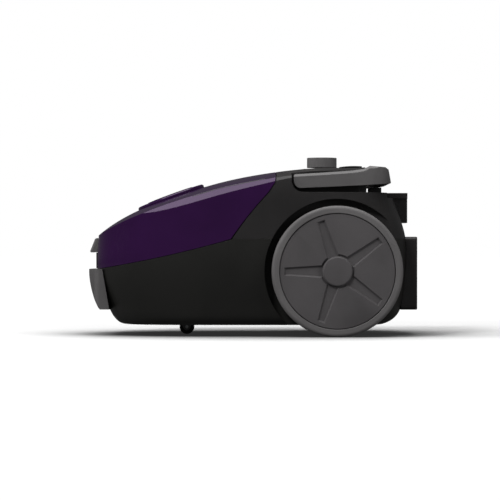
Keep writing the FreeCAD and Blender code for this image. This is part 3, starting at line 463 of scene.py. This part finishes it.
def lit_rear_finish():
    """Satin of the rear shell and what is fixed to it: the body's black moulding, given a lighter tone as
    painted light for the stronger light on the upper rear.
    """
    tone = bpy.context.scene.vacuum_colours.rear
    return plastic("Rear satin painted lighter", tone, 0.40, 1100.0, 0.5, 0.3, 0.08, specular=0.35)


def finish_for(slot):
    """Material of each of the record's slots."""
    tones = bpy.context.scene.vacuum_colours
    if slot == "purple_gloss":
        return plastic(
            "Lid gloss", tones.lid, 0.16, 500.0, 0.0, 0.10, 0.02, rub=0.03, tint=(0.86, 0.68, 0.93)
        )
    if slot == "black_body":
        return plastic("Body satin", tones.body, 0.42, 1100.0, 0.5, 0.3, 0.10, specular=0.35)
    if slot == "black_gloss":
        return plastic("Black gloss", (0.012, 0.012, 0.012), 0.2, 700.0, 0.05, 0.2, 0.10, rub=0.12)
    if slot == "grey_trim":
        return plastic("Trim satin", tones.trim, 0.38, 1200.0, 0.5, 0.3, 0.06, specular=0.4)
    if slot == "wheel_grey":
        return plastic("Wheel satin", tones.wheel, 0.45, 1000.0, 0.5, 0.3, 0.0, specular=0.35)
    if slot == "tyre_grey":
        return plastic("Tyre rubber", tones.tyre, 0.55, 800.0, 0.9, 0.5, 0.08, specular=0.35)
    if slot == "black_rubber":
        return plastic("Black rubber", (0.014, 0.014, 0.014), 0.7, 700.0, 1.2, 0.2, 0.10, specular=0.3)
    if slot == "grey_plastic":
        return plastic("Inner moulding", (0.17, 0.17, 0.175), 0.5, 600.0, 0.6, 0.3, 0.15)
    if slot == "bag_fleece":
        return fleece("Bag fleece", tones.fleece)
    if slot == "card":
        return fleece("Pressed card", (0.46, 0.35, 0.22), 700.0)
    if slot == "filter_white":
        return fleece("Filter fleece", (0.82, 0.82, 0.80), 1200.0)
    if slot == "steel":
        return metal("Plated steel", (0.62, 0.62, 0.64), 0.25)
    if slot == "aluminium":
        return metal("Pressed aluminium", (0.78, 0.78, 0.80), 0.32, (0.2, 1.0, 1.0))
    if slot == "copper_iron":
        return windings("Copper windings")
    return circuit("Circuit lacquer")


# ---------------------------------------------------------------- mesh helpers
def object_from(bm, name, material):
    mesh = bpy.data.meshes.new(name)
    bm.to_mesh(mesh)
    bm.free()
    mesh.materials.append(material)
    made = bpy.data.objects.new(name, mesh)
    bpy.context.scene.collection.objects.link(made)
    return made


def smooth_by_angle(bm, degrees):
    """Smooth faces, with an edge kept sharp where its faces turn by more than the angle."""
    limit = math.radians(degrees)
    for face in bm.faces:
        face.smooth = True
    for edge in bm.edges:
        edge.smooth = len(edge.link_faces) == 2 and edge.calc_face_angle(0) < limit


def place(piece, body, slot, *nodes):
    """Rides the piece on its body and hides the nodes it stands for. Its slot is not used."""
    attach(piece, body)
    if nodes:
        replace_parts(piece, *nodes)
    return piece


def refined(node, name=None, degrees=28.0, material=None):
    """A node's own shape as one joined mesh with smooth curves and crisp edges, in the node's place."""
    bm = bmesh.new()
    bm.from_mesh(frame["nodes"][node].data)
    bmesh.ops.remove_doubles(bm, verts=bm.verts, dist=2e-6)
    smooth_by_angle(bm, degrees)
    piece = object_from(bm, name or node + "_finish", material or finish_for(SLOT_OF[node]))
    return place(piece, BODY_OF[node], SLOT_OF[node], node)


def carry_over(*nodes):
    """CAD nodes whose shape is right keep it and get their finish."""
    for node in nodes:
        data = frame["nodes"][node].data
        data.materials.clear()
        data.materials.append(finish_for(SLOT_OF[node]))


def node_tree(name, inputs):
    """Geometry tree with named inputs and one geometry output. Returns the tree, its start and its end."""
    tree = bpy.data.node_groups.new(name, "GeometryNodeTree")
    for label, kind in inputs:
        tree.interface.new_socket(label, in_out="INPUT", socket_type="NodeSocket" + kind)
    tree.interface.new_socket("Geometry", in_out="OUTPUT", socket_type="NodeSocketGeometry")
    return tree, tree.nodes.new("NodeGroupInput"), tree.nodes.new("NodeGroupOutput")


def step(tree, kind, *links, **values):
    """Adds one node. Each link is (socket of this node, source). Keywords set its plain attributes."""
    node = tree.nodes.new(kind)
    for label, value in values.items():
        setattr(node, label, value)
    for label, source in links:
        if hasattr(source, "is_output"):
            tree.links.new(source, node.inputs[label])
        else:
            node.inputs[label].default_value = source
    return node


def instances_end(tree, points, shape, turn, material, leave):
    """Sets the shape on every point and ends the tree as real geometry with its material."""
    spread = step(tree, "GeometryNodeInstanceOnPoints", ("Points", points), ("Instance", shape))
    if turn is not None:
        tree.links.new(turn, spread.inputs["Rotation"])
    real = step(tree, "GeometryNodeRealizeInstances", ("Geometry", spread.outputs[0]))
    done = step(tree, "GeometryNodeSetMaterial", ("Geometry", real.outputs[0]), ("Material", material))
    tree.links.new(done.outputs[0], leave.inputs["Geometry"])


def row_of_ribs_tree():
    """Half-sunk round ribs at an even pitch along a straight line."""
    tree, enter, leave = node_tree("Row of ribs", [
        ("Count", "Int"), ("Start", "Vector"), ("Pitch", "Vector"), ("Radius", "Float"), ("Length", "Float"),
        ("Turn", "Vector"), ("Material", "Material"),
    ])
    given = enter.outputs
    line = step(tree, "GeometryNodeMeshLine", ("Count", given["Count"]), ("Start Location", given["Start"]),
                ("Offset", given["Pitch"]))
    rib = step(tree, "GeometryNodeMeshCylinder", ("Vertices", 12), ("Radius", given["Radius"]),
               ("Depth", given["Length"]))
    instances_end(tree, line.outputs[0], rib.outputs["Mesh"], given["Turn"], given["Material"], leave)
    return tree


def arc_of_dots_tree():
    """Domed dots at an even pitch along an arc that lies level."""
    tree, enter, leave = node_tree("Arc of dots", [
        ("Count", "Int"), ("Centre", "Vector"), ("Arc radius", "Float"), ("First angle", "Float"),
        ("Sweep", "Float"), ("Dot radius", "Float"), ("Material", "Material"),
    ])
    given = enter.outputs
    line = step(tree, "GeometryNodeMeshLine", ("Count", given["Count"]))
    index = step(tree, "GeometryNodeInputIndex")
    gaps = math_node(tree, "SUBTRACT", given["Count"], 1)
    share = math_node(tree, "DIVIDE", index.outputs[0], gaps)
    angle = math_node(tree, "MULTIPLY_ADD", share, given["Sweep"], given["First angle"])
    x = math_node(tree, "MULTIPLY", math_node(tree, "COSINE", angle), given["Arc radius"])
    y = math_node(tree, "MULTIPLY", math_node(tree, "SINE", angle), given["Arc radius"])
    flat = step(tree, "ShaderNodeCombineXYZ", ("X", x), ("Y", y))
    where = step(tree, "ShaderNodeVectorMath", (0, flat.outputs[0]), (1, given["Centre"]), operation="ADD")
    points = step(
        tree, "GeometryNodeSetPosition", ("Geometry", line.outputs[0]), ("Position", where.outputs[0])
    )
    dot = step(
        tree, "GeometryNodeMeshUVSphere", ("Segments", 14), ("Rings", 8), ("Radius", given["Dot radius"])
    )
    dome = step(tree, "GeometryNodeTransform", ("Geometry", dot.outputs["Mesh"]), ("Scale", (1.0, 1.0, 0.5)))
    instances_end(tree, points.outputs[0], dome.outputs[0], None, given["Material"], leave)
    return tree


TREE_MAKERS = {"Row of ribs": row_of_ribs_tree, "Arc of dots": arc_of_dots_tree}


def grown(name, kind, **values):
    """Runs a geometry tree with the given inputs and keeps its result as a plain mesh."""
    tree = bpy.data.node_groups.get(kind) or TREE_MAKERS[kind]()
    made = bpy.data.objects.new(name, bpy.data.meshes.new(name))
    bpy.context.scene.collection.objects.link(made)
    modifier = made.modifiers.new(kind, "NODES")
    modifier.node_group = tree
    for item in tree.interface.items_tree:
        if item.in_out == "INPUT":
            modifier[item.identifier] = values[item.name.lower().replace(" ", "_")]
    found = made.evaluated_get(bpy.context.evaluated_depsgraph_get())
    mesh = bpy.data.meshes.new_from_object(found)
    made.modifiers.clear()
    made.data = mesh
    for polygon in mesh.polygons:
        polygon.use_smooth = True
    return made


def surface_of(node):
    """Search tree over a node's faces."""
    data = frame["nodes"][node].data
    return BVHTree.FromPolygons([v.co for v in data.vertices], [p.vertices for p in data.polygons])


def evenly(points, pitch=0.0012):
    """The same open line with points at an even pitch."""
    points = [Vector(p) for p in points]
    out = [points[0]]
    for a, b in zip(points, points[1:]):
        count = max(1, round((b - a).length / pitch))
        out += [a.lerp(b, (i + 1) / count) for i in range(count)]
    return out


def raised_lines(name, node, lines, ray, half_width, proud, material, slot):
    """Low flat-topped lines on a node's surface, found by sending rays from each line's points."""
    surface = surface_of(node)
    ray = Vector(ray)
    bm = bmesh.new()
    for line in lines:
        hits = [surface.ray_cast(p, ray)[:2] for p in evenly(line)]
        hits = [(p, n if n.dot(ray) < 0 else -n) for p, n in hits if p is not None]
        rings = []
        for i, (point, normal) in enumerate(hits):
            ahead = hits[min(i + 1, len(hits) - 1)][0] - hits[max(i - 1, 0)][0]
            side = ahead.cross(normal).normalized()
            corners = ((1.0, -0.4), (0.75, 1.0), (-0.75, 1.0), (-1.0, -0.4))
            ring = [bm.verts.new(point + side * half_width * s + normal * proud * n) for s, n in corners]
            rings.append(ring)
        for a, b in zip(rings, rings[1:]):
            for k in range(4):
                bm.faces.new((a[k], a[(k + 1) % 4], b[(k + 1) % 4], b[k]))
        if rings:
            bm.faces.new(rings[0])
            bm.faces.new(rings[-1])
    bmesh.ops.recalc_face_normals(bm, faces=bm.faces)
    piece = object_from(bm, name, material)
    return place(piece, BODY_OF[node], slot)


def arc_points(x, y, z, radius, first, last, count=24):
    """Level arc as points, with angles in degrees."""
    turns = [math.radians(first + (last - first) * i / count) for i in range(count + 1)]
    return [(x + radius * math.cos(t), y + radius * math.sin(t), z) for t in turns]


def pleated(name, node, pitch, material):
    """Zigzag sheet that fills a filter's frame, folded across its width, with a flat rim."""
    low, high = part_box(node)
    rim, sheet = 2.2 * MM, 0.35 * MM
    count = max(2, round((high.y - low.y - 2 * rim) / pitch))
    bm = bmesh.new()
    rows = []
    for i in range(2 * count + 1):
        y = low.y + rim + (high.y - low.y - 2 * rim) * i / (2 * count)
        x = low.x + sheet if i % 2 else high.x - 2 * sheet
        column = []
        for z in (low.z + rim, high.z - rim):
            column.append(bm.verts.new((x, y, z)))
            column.append(bm.verts.new((x + sheet, y, z)))
        rows.append(column)
    for a, b in zip(rows, rows[1:]):
        for m, n in ((0, 2), (3, 1), (2, 3), (1, 0)):
            bm.faces.new((a[m], a[n], b[n], b[m]))
    for end in (rows[0], rows[-1]):
        bm.faces.new((end[0], end[1], end[3], end[2]))
    outer = [(low.y, low.z), (high.y, low.z), (high.y, high.z), (low.y, high.z)]
    inner = [(y + rim * (1 if y == low.y else -1), z + rim * (1 if z == low.z else -1)) for y, z in outer]
    loops = []
    for loop, x in ((outer, low.x), (outer, high.x), (inner, high.x), (inner, low.x)):
        loops.append([bm.verts.new((x, y, z)) for y, z in loop])
    for a, b in zip(loops, loops[1:] + loops[:1]):
        for k in range(4):
            bm.faces.new((a[k], a[(k + 1) % 4], b[(k + 1) % 4], b[k]))
    bmesh.ops.recalc_face_normals(bm, faces=bm.faces)
    piece = object_from(bm, name, material)
    return place(piece, BODY_OF[node], SLOT_OF[node], node)


def lathe(profile, centre, axis, name, material, segments=160, sharp=30.0):
    """Closed profile of (along, radius) points turned about an axis through centre."""
    axis = Vector(axis).normalized()
    side = axis.orthogonal().normalized()
    up = axis.cross(side)
    bm = bmesh.new()
    rings = []
    for along, radius in profile:
        loop = []
        for i in range(segments):
            turn = 2 * math.pi * i / segments
            spoke = side * math.cos(turn) + up * math.sin(turn)
            loop.append(bm.verts.new(Vector(centre) + axis * along + spoke * radius))
        rings.append(loop)
    for a, b in zip(rings, rings[1:] + rings[:1]):
        for i in range(segments):
            j = (i + 1) % segments
            bm.faces.new((a[i], a[j], b[j], b[i]))
    bmesh.ops.recalc_face_normals(bm, faces=bm.faces)
    smooth_by_angle(bm, sharp)
    return object_from(bm, name, material)


# ---------------------------------------------------------------- operators
class VACUUM_OT_stage(bpy.types.Operator):
    """Sets the floor, lights and camera."""

    bl_idname = "vacuum.stage"
    bl_label = "Stage"

    def execute(self, context):
        stage = context.scene.vacuum_stage
        self.floor()
        self.camera(stage)
        self.softbox("Top light", (-0.1, -0.1, 1.7), (0, 0, 0.1), (1.8, 1.5), stage.top_light)
        self.softbox("Side light", (-2.3, -0.7, 0.9), (0, 0, 0.1), (1.0, 1.3), stage.side_light, False)
        self.softbox("Key light", (-1.2, -1.9, 2.1), (0, 0, 0.1), (0.7, 0.7), stage.key_light, False)
        self.softbox("Fill light", (2.0, -1.3, 0.7), (0.1, 0, 0.1), (1.0, 1.0), stage.fill_light, False)
        self.room(stage.sky)
        context.scene.view_settings.view_transform = "Standard"
        return {"FINISHED"}

    def camera(self, stage):
        data = bpy.data.cameras.new("Camera")
        data.lens = stage.lens
        data.sensor_width = 36.0
        data.clip_end = 100.0
        camera = bpy.data.objects.new("Camera", data)
        camera.location = (stage.aside, -stage.distance, stage.height)
        camera.rotation_euler = (math.radians(90), 0, 0)
        bpy.context.scene.collection.objects.link(camera)
        bpy.context.scene.camera = camera

    def softbox(self, name, where, aim, size, power, mirrored=True):
        data = bpy.data.lights.new(name, "AREA")
        data.shape = "RECTANGLE"
        data.size, data.size_y = size
        data.energy = power
        lamp = bpy.data.objects.new(name, data)
        lamp.location = where
        lamp.visible_glossy = mirrored
        lamp.rotation_euler = (Vector(aim) - Vector(where)).to_track_quat("-Z", "Y").to_euler()
        bpy.context.scene.collection.objects.link(lamp)

    def floor(self):
        bm = bmesh.new()
        bmesh.ops.create_grid(bm, x_segments=8, y_segments=8, size=30.0)
        material, tree, shader, place_node = start_material("Studio floor")
        # The floor's colour carries a painted shadow round the machine: ambient occlusion darkens it for
        # camera rays.
        painted_shadow_reach, painted_shadow_depth = 0.55, 1.9
        white_from, white_at = 0.36, 0.8
        shader.inputs["Roughness"].default_value = 0.7
        shader.inputs["Specular IOR Level"].default_value = 0.1
        # A faint glow of the whole floor, which is no lamp, lifts the darkest core of that painted shadow.
        shader.inputs["Emission Color"].default_value = (1, 1, 1, 1)
        shader.inputs["Emission Strength"].default_value = 0.025
        centre = tree.nodes.new("ShaderNodeMapping")
        centre.inputs["Scale"].default_value = (0.75, 1.0, 0.0)
        tree.links.new(place_node.outputs["Object"], centre.inputs["Vector"])
        length = tree.nodes.new("ShaderNodeVectorMath")
        length.operation = "LENGTH"
        tree.links.new(centre.outputs[0], length.inputs[0])
        away = span(tree, length.outputs["Value"], white_from, white_at)
        glow = tree.nodes.new("ShaderNodeEmission")
        glow.inputs["Color"].default_value = (1, 1, 1, 1)
        glow.inputs["Strength"].default_value = 1.05
        path = tree.nodes.new("ShaderNodeLightPath")
        # Painted shadow: the nearer other geometry is, the darker this makes the floor's colour.
        nearby = tree.nodes.new("ShaderNodeAmbientOcclusion")
        nearby.samples = 16
        nearby.inputs["Distance"].default_value = painted_shadow_reach
        open_sky = math_node(tree, "POWER", nearby.outputs["AO"], painted_shadow_depth)
        painted_shadow_tone = mix_colour(tree, open_sky, (0.02, 0.02, 0.02, 1.0), (1.1, 1.1, 1.1, 1.0))
        tone = mix_colour(tree, path.outputs["Is Camera Ray"], (0.07, 0.07, 0.07, 1.0), painted_shadow_tone)
        tree.links.new(tone, shader.inputs["Base Color"])
        seen = math_node(tree, "MULTIPLY", away, path.outputs["Is Camera Ray"])
        blend = tree.nodes.new("ShaderNodeMixShader")
        tree.links.new(seen, blend.inputs["Fac"])
        tree.links.new(shader.outputs[0], blend.inputs[1])
        tree.links.new(glow.outputs[0], blend.inputs[2])
        tree.links.new(blend.outputs[0], tree.nodes["Material Output"].inputs["Surface"])
        object_from(bm, "studio_floor", material)

    def room(self, strength):
        world = bpy.data.worlds.new("Studio")
        bpy.context.scene.world = world
        world.use_nodes = True
        tree = world.node_tree
        dim = tree.nodes["Background"]
        dim.inputs["Color"].default_value = (1, 1, 1, 1)
        dim.inputs["Strength"].default_value = strength
        white = tree.nodes.new("ShaderNodeBackground")
        white.inputs["Color"].default_value = (1, 1, 1, 1)
        white.inputs["Strength"].default_value = 1.0
        path = tree.nodes.new("ShaderNodeLightPath")
        blend = tree.nodes.new("ShaderNodeMixShader")
        tree.links.new(path.outputs["Is Camera Ray"], blend.inputs["Fac"])
        tree.links.new(dim.outputs[0], blend.inputs[1])
        tree.links.new(white.outputs[0], blend.inputs[2])
        tree.links.new(blend.outputs[0], tree.nodes["World Output"].inputs["Surface"])


class VACUUM_OT_housing(bpy.types.Operator):
    """Finishes the shells, bumper, bracket and cord outlet."""

    bl_idname = "vacuum.housing"
    bl_label = "Housing"

    def execute(self, context):
        for node in ("lower_shell", "front_bumper", "cord_guide"):
            refined(node)
        for node in ("rear_housing", "parking_bracket", "parking_flange"):
            refined(node, material=lit_rear_finish())
        carry_over("housing_screws", "handle_pivot_pins", "lid_hinge_pins", "wheel_axles", "wheel_clips")
        return {"FINISHED"}


class VACUUM_OT_lid(bpy.types.Operator):
    """Finishes the lid, the hose port and the latch."""

    bl_idname = "vacuum.lid"
    bl_label = "Lid"

    def execute(self, context):
        for node in ("lid_shell", "hose_port_collar", "hose_port_tube", "latch_tab", "latch_leg"):
            refined(node)
        sizes = context.scene.vacuum_sizes
        self.groove_shade_lines()
        self.tab_ribs(sizes.tab_ribs)
        self.port_lip()
        return {"FINISHED"}

    def groove_shade_lines(self):
        """Dark line along the top of each shoulder, where the crowned top meets the bevelled side: a black
        strip that paints the shade of the groove there.
        """
        dark = finish_for("black_gloss")
        edge, above, half_width, proud = 105.1 * MM, 0.25, 0.55 * MM, 0.12 * MM
        along = (-0.072, -0.03, 0.01, 0.0265)
        lines = [[(x, side * edge, above) for x in along] for side in (-1, 1)]
        raised_lines("shoulder_lines", "lid_shell", lines, (0, 0, -1), half_width, proud, dark, "black_gloss")

    def tab_ribs(self, count):
        """Ribs across the latch tab for the thumb."""
        low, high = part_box("latch_tab")
        first = Vector((low.x + 1.1 * MM, 0, low.z + 3.4 * MM))
        last = Vector((low.x + 4.6 * MM, 0, low.z + 12.4 * MM))
        ribs = grown(
            "latch_tab_ribs", "Row of ribs", count=count, start=first, pitch=(last - first) / (count - 1),
            radius=0.55 * MM, length=high.y - low.y - 12 * MM, turn=(math.radians(90), 0, 0),
            material=finish_for("grey_trim"),
        )
        place(ribs, BODY_OF["latch_tab"], "grey_trim")

    def port_lip(self):
        """Rubber lip and bayonet shoulder inside the hose port."""
        mount = next(m for m in frame["record"]["mounts"] if m["name"] == "hose_port")
        axis, centre = Vector(mount["axis"]), Vector(mount["pos_m"])
        bore = mount["dims"]["r_mm"] * MM
        profile = [
            (-8 * MM, bore - 0.05 * MM), (-8 * MM, bore - 1.6 * MM), (-7.2 * MM, bore - 2.0 * MM),
            (-6.4 * MM, bore - 1.6 * MM), (-5.6 * MM, bore - 0.9 * MM), (-4.4 * MM, bore - 0.7 * MM),
            (-3.6 * MM, bore - 0.05 * MM),
        ]
        lip = lathe(profile, centre, axis, "hose_port_lip", finish_for("black_rubber"), 96)
        place(lip, BODY_OF["hose_port_tube"], "black_rubber")


class VACUUM_OT_handle(bpy.types.Operator):
    """Finishes the carrying handle and its soft grip pad."""

    bl_idname = "vacuum.handle"
    bl_label = "Handle"

    def execute(self, context):
        refined("carry_handle")
        refined("grip_insert")
        self.ribs(context.scene.vacuum_sizes.grip_ribs)
        return {"FINISHED"}

    def ribs(self, count):
        """Ribs under the soft pad, where the fingers close round it."""
        low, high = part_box("grip_insert")
        inset = 9 * MM
        pitch = (high.y - low.y - 2 * inset) / (count - 1)
        start = (middle("grip_insert").x, low.y + inset, low.z + 0.1 * MM)
        length = high.x - low.x - 3 * MM
        ribs = grown(
            "grip_ribs", "Row of ribs", count=count, start=start, pitch=(0, pitch, 0), radius=0.7 * MM,
            length=length, turn=(0, math.radians(90), 0), material=finish_for("black_rubber"),
        )
        place(ribs, BODY_OF["grip_insert"], "black_rubber")


class VACUUM_OT_controls(bpy.types.Operator):
    """Finishes the knob and the two pedals."""

    bl_idname = "vacuum.controls"
    bl_label = "Controls"

    def execute(self, context):
        for node in ("suction_knob", "power_pedal", "cord_rewind_pedal"):
            refined(node)
        carry_over("knob_spindle", "suction_control")
        sizes = context.scene.vacuum_sizes
        self.dial(sizes)
        self.symbols(sizes)
        return {"FINISHED"}

    def dial(self, sizes):
        """Raised dots on the deck round the knob, from the lowest setting to the highest."""
        centre = middle("suction_knob")
        radius = 23 * MM
        top = surface_of("rear_housing").ray_cast(centre + Vector((-radius, 0, 0.1)), (0, 0, -1))[0]
        dots = grown(
            "dial_dots", "Arc of dots", count=sizes.dial_dots, centre=(centre.x, centre.y, top.z),
            arc_radius=radius, first_angle=math.radians(75), sweep=math.radians(210), dot_radius=0.9 * MM,
            material=finish_for("grey_trim"),
        )
        place(dots, "base", "grey_trim")

    def symbols(self, sizes):
        """Power symbol on one pedal, and a plug on its cord on the other."""
        paint = plastic("Symbol paint", (0.42, 0.42, 0.42), 0.45, wear=0.5)
        above, proud = 0.25, 0.2 * MM
        down = (0, 0, -1)
        spot = middle("power_pedal")
        power = [
            arc_points(spot.x, spot.y, above, 5.2 * MM, 40, 320),
            [(spot.x + 1.2 * MM, spot.y, above), (spot.x + 7.2 * MM, spot.y, above)],
        ]
        raised_lines("power_symbol", "power_pedal", power, down, sizes.line, proud, paint, "grey_trim")
        spot = middle("cord_rewind_pedal")
        x, y = spot.x, spot.y
        plug = [
            arc_points(x, y, above, 3.6 * MM, 90, 270, 14),
            [(x, y - 3.6 * MM, above), (x, y + 3.6 * MM, above)],
            [(x, y - 1.7 * MM, above), (x + 3.4 * MM, y - 1.7 * MM, above)],
            [(x, y + 1.7 * MM, above), (x + 3.4 * MM, y + 1.7 * MM, above)],
            [(x - 3.6 * MM, y, above), (x - 6.0 * MM, y, above)],
            arc_points(x - 6.0 * MM, y + 2.6 * MM, above, 2.6 * MM, -90, -200, 12),
        ]
        raised_lines("cord_symbol", "cord_rewind_pedal", plug, down, sizes.line, proud, paint, "grey_trim")


class VACUUM_OT_wheels(bpy.types.Operator):
    """Finishes the rear wheels and the front caster."""

    bl_idname = "vacuum.wheels"
    bl_label = "Wheels"

    def execute(self, context):
        for side in ("left", "right"):
            refined(side + "_rim")
            refined(side + "_wheel_cover")
            self.tyre(side, context.scene.vacuum_sizes)
        for node in ("caster_fork", "caster_wheel"):
            refined(node)
        carry_over("caster_axle", "caster_clip")
        return {"FINISHED"}

    def tyre(self, side, sizes):
        """Soft rim with rounded shoulders and shallow grooves round its tread."""
        node = side + "_tyre"
        low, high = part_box(node)
        centre = (low + high) / 2
        half, outer = (high.y - low.y) / 2, (high.z - low.z) / 2
        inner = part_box(side + "_rim")[1].z - centre.z
        shoulder = 4.2 * MM
        profile = [(-half + 0.4 * MM, inner), (-half, inner + 0.6 * MM), (-half, outer - shoulder)]
        profile += self.corner(-half + shoulder, outer - shoulder, shoulder, 180, 90)
        tread = 2 * (half - shoulder)
        pitch = tread / (sizes.tread_grooves + 1)
        for i in range(sizes.tread_grooves):
            at = -half + shoulder + pitch * (i + 1)
            for step, sink in ((-0.9, 0), (-0.5, 1), (0.5, 1), (0.9, 0)):
                profile.append((at + step * MM, outer - sink * sizes.tread_groove))
        profile += self.corner(half - shoulder, outer - shoulder, shoulder, 90, 0)
        profile += [(half, inner + 0.6 * MM), (half - 0.4 * MM, inner)]
        piece = lathe(profile, centre, (0, 1, 0), node + "_finish", finish_for(SLOT_OF[node]))
        place(piece, BODY_OF[node], SLOT_OF[node], node)

    def corner(self, along, radius, bend, first, last, steps=8):
        points = []
        for i in range(steps + 1):
            turn = math.radians(first + (last - first) * i / steps)
            points.append((along + bend * math.cos(turn), radius + bend * math.sin(turn)))
        return points


class VACUUM_OT_exhaust(bpy.types.Operator):
    """Finishes the slatted exhaust cover and its filter."""

    bl_idname = "vacuum.exhaust"
    bl_label = "Exhaust"

    def execute(self, context):
        refined("exhaust_cover", material=lit_rear_finish())
        pitch = context.scene.vacuum_sizes.pleat
        pleated("exhaust_filter_pleats", "exhaust_filter", pitch, finish_for("filter_white"))
        return {"FINISHED"}


class VACUUM_OT_dust_room(bpy.types.Operator):
    """Finishes the dust bag, its plate and the room under the lid."""

    bl_idname = "vacuum.dust_room"
    bl_label = "Dust room"

    def execute(self, context):
        for node in ("motor_bulkhead", "chamber_seal", "bag_cradle", "bag_plate"):
            refined(node)
        sizes = context.scene.vacuum_sizes
        pleated("motor_filter_pleats", "motor_filter", sizes.pleat, finish_for("filter_white"))
        self.bag(sizes.bag_pressure)
        self.membrane()
        return {"FINISHED"}

    def bag(self, pressure):
        """Fleece bag filled out by air, creased all over with soft folds and kept within the room made for
        it.
        """
        solid = surface_of("dust_bag")
        bm = bmesh.new()
        bm.from_mesh(frame["nodes"]["dust_bag"].data)
        bmesh.ops.remove_doubles(bm, verts=bm.verts, dist=2e-6)
        piece = object_from(bm, "dust_bag_fleece", finish_for("bag_fleece"))
        self.applied(piece, "REMESH", mode="VOXEL", voxel_size=4.5 * MM)
        for vertex in piece.data.vertices:
            vertex.co -= vertex.normal * 4.0 * MM
        start = [v.co.copy() for v in piece.data.vertices]
        self.inflate(piece, pressure)
        for vertex, old in zip(piece.data.vertices, start):
            moved = vertex.co - old
            if moved.length > 9 * MM:
                vertex.co = old + moved.normalized() * 9 * MM
        self.applied(piece, "SUBSURF", levels=1, render_levels=1)
        for vertex in piece.data.vertices:
            self.crease(vertex)
            self.keep_inside(vertex, solid)
        for polygon in piece.data.polygons:
            polygon.use_smooth = True
        place(piece, "base", "bag_fleece", "dust_bag")

    def applied(self, piece, kind, **values):
        """Puts one modifier on a piece and keeps its result as the piece's mesh."""
        modifier = piece.modifiers.new(kind.title(), kind)
        for name, value in values.items():
            setattr(modifier, name, value)
        self.freeze(piece)

    def freeze(self, piece):
        found = piece.evaluated_get(bpy.context.evaluated_depsgraph_get())
        mesh = bpy.data.meshes.new_from_object(found)
        piece.modifiers.clear()
        piece.data = mesh

    def inflate(self, piece, pressure):
        cloth = piece.modifiers.new("Cloth", "CLOTH")
        cloth.settings.use_pressure = True
        cloth.settings.uniform_pressure_force = pressure
        cloth.settings.effector_weights.gravity = 0
        scene = bpy.context.scene
        for number in range(1, 21):
            scene.frame_set(number)
        self.freeze(piece)
        scene.frame_set(1)

    def crease(self, vertex):
        """Soft folds that run up and down the bag, and a slight dimpling of the cloth."""
        at = vertex.co
        folds = noise.noise(Vector((at.x * 55, at.y * 55, at.z * 14)))
        dimples = noise.noise(at * 160)
        vertex.co = at - vertex.normal * (1.6 * MM * (0.5 - abs(folds)) + 0.35 * MM * dimples)

    def keep_inside(self, vertex, solid):
        """Brings a point that has left the room kept for the bag back to just within it."""
        near, normal = solid.find_nearest(vertex.co)[:2]
        if (vertex.co - near).dot(normal) > -0.4 * MM:
            vertex.co = near - normal * 0.4 * MM

    def membrane(self):
        """Rubber ring that seals the bag's mouth against the hose port."""
        mount = next(m for m in frame["record"]["mounts"] if m["name"] == "hose_port")
        axis, middle_of_tube = Vector(mount["axis"]), Vector(mount["pos_m"])
        bore = mount["dims"]["r_mm"] * MM
        card = (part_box("bag_plate")[0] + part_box("bag_plate")[1]) / 2
        along = (card - middle_of_tube).dot(axis)
        half = 2.0 * MM
        profile = [
            (along - half, bore - 0.1 * MM), (along - 0.6 * MM, bore - 3.4 * MM),
            (along + 0.6 * MM, bore - 3.4 * MM), (along + half, bore - 0.1 * MM),
        ]
        ring = lathe(profile, middle_of_tube, axis, "bag_mouth_ring", finish_for("black_rubber"), 96)
        place(ring, "base", "black_rubber")


class VACUUM_OT_machinery(bpy.types.Operator):
    """Finishes the motor, the cord reel and the controls' circuit."""

    bl_idname = "vacuum.machinery"
    bl_label = "Machinery"

    def execute(self, context):
        done = {piece_node for o in bpy.data.objects for piece_node in o.get("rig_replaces", [])}
        rest = [n for n, o in frame["nodes"].items() if n not in done and BODY_OF[n] in (
            "base", "motor_rotor", "cord_reel", "reel_brake")]
        carry_over(*rest)
        return {"FINISHED"}


class VACUUM_PT_parts(bpy.types.Panel):
    """Sidebar panel with the settings and one button for each group of pieces."""

    bl_idname = "VACUUM_PT_parts"
    bl_label = "Vacuum Cleaner"
    bl_space_type = "VIEW_3D"
    bl_region_type = "UI"
    bl_category = "Vacuum"

    def draw(self, context):
        for group in (context.scene.vacuum_colours, context.scene.vacuum_sizes, context.scene.vacuum_stage):
            box = self.layout.box()
            for name in group.__annotations__:
                box.prop(group, name)
        for operator in OPERATORS:
            self.layout.operator(operator.bl_idname)


OPERATORS = (
    VACUUM_OT_stage, VACUUM_OT_housing, VACUUM_OT_lid, VACUUM_OT_handle, VACUUM_OT_controls, VACUUM_OT_wheels,
    VACUUM_OT_exhaust, VACUUM_OT_dust_room, VACUUM_OT_machinery,
)
SETTINGS = {"vacuum_colours": VacuumColours, "vacuum_sizes": VacuumSizes, "vacuum_stage": VacuumStage}


def register():
    for cls in (*SETTINGS.values(), *OPERATORS, VACUUM_PT_parts):
        bpy.utils.register_class(cls)
    for name, cls in SETTINGS.items():
        setattr(bpy.types.Scene, name, PointerProperty(type=cls))


def unregister():
    for name in SETTINGS:
        delattr(bpy.types.Scene, name)
    for cls in reversed((*SETTINGS.values(), *OPERATORS, VACUUM_PT_parts)):
        bpy.utils.unregister_class(cls)


def main():
    register()
    for operator in OPERATORS:
        family, name = operator.bl_idname.split(".")
        getattr(getattr(bpy.ops, family), name)()


if __name__ == "__main__":
    main()
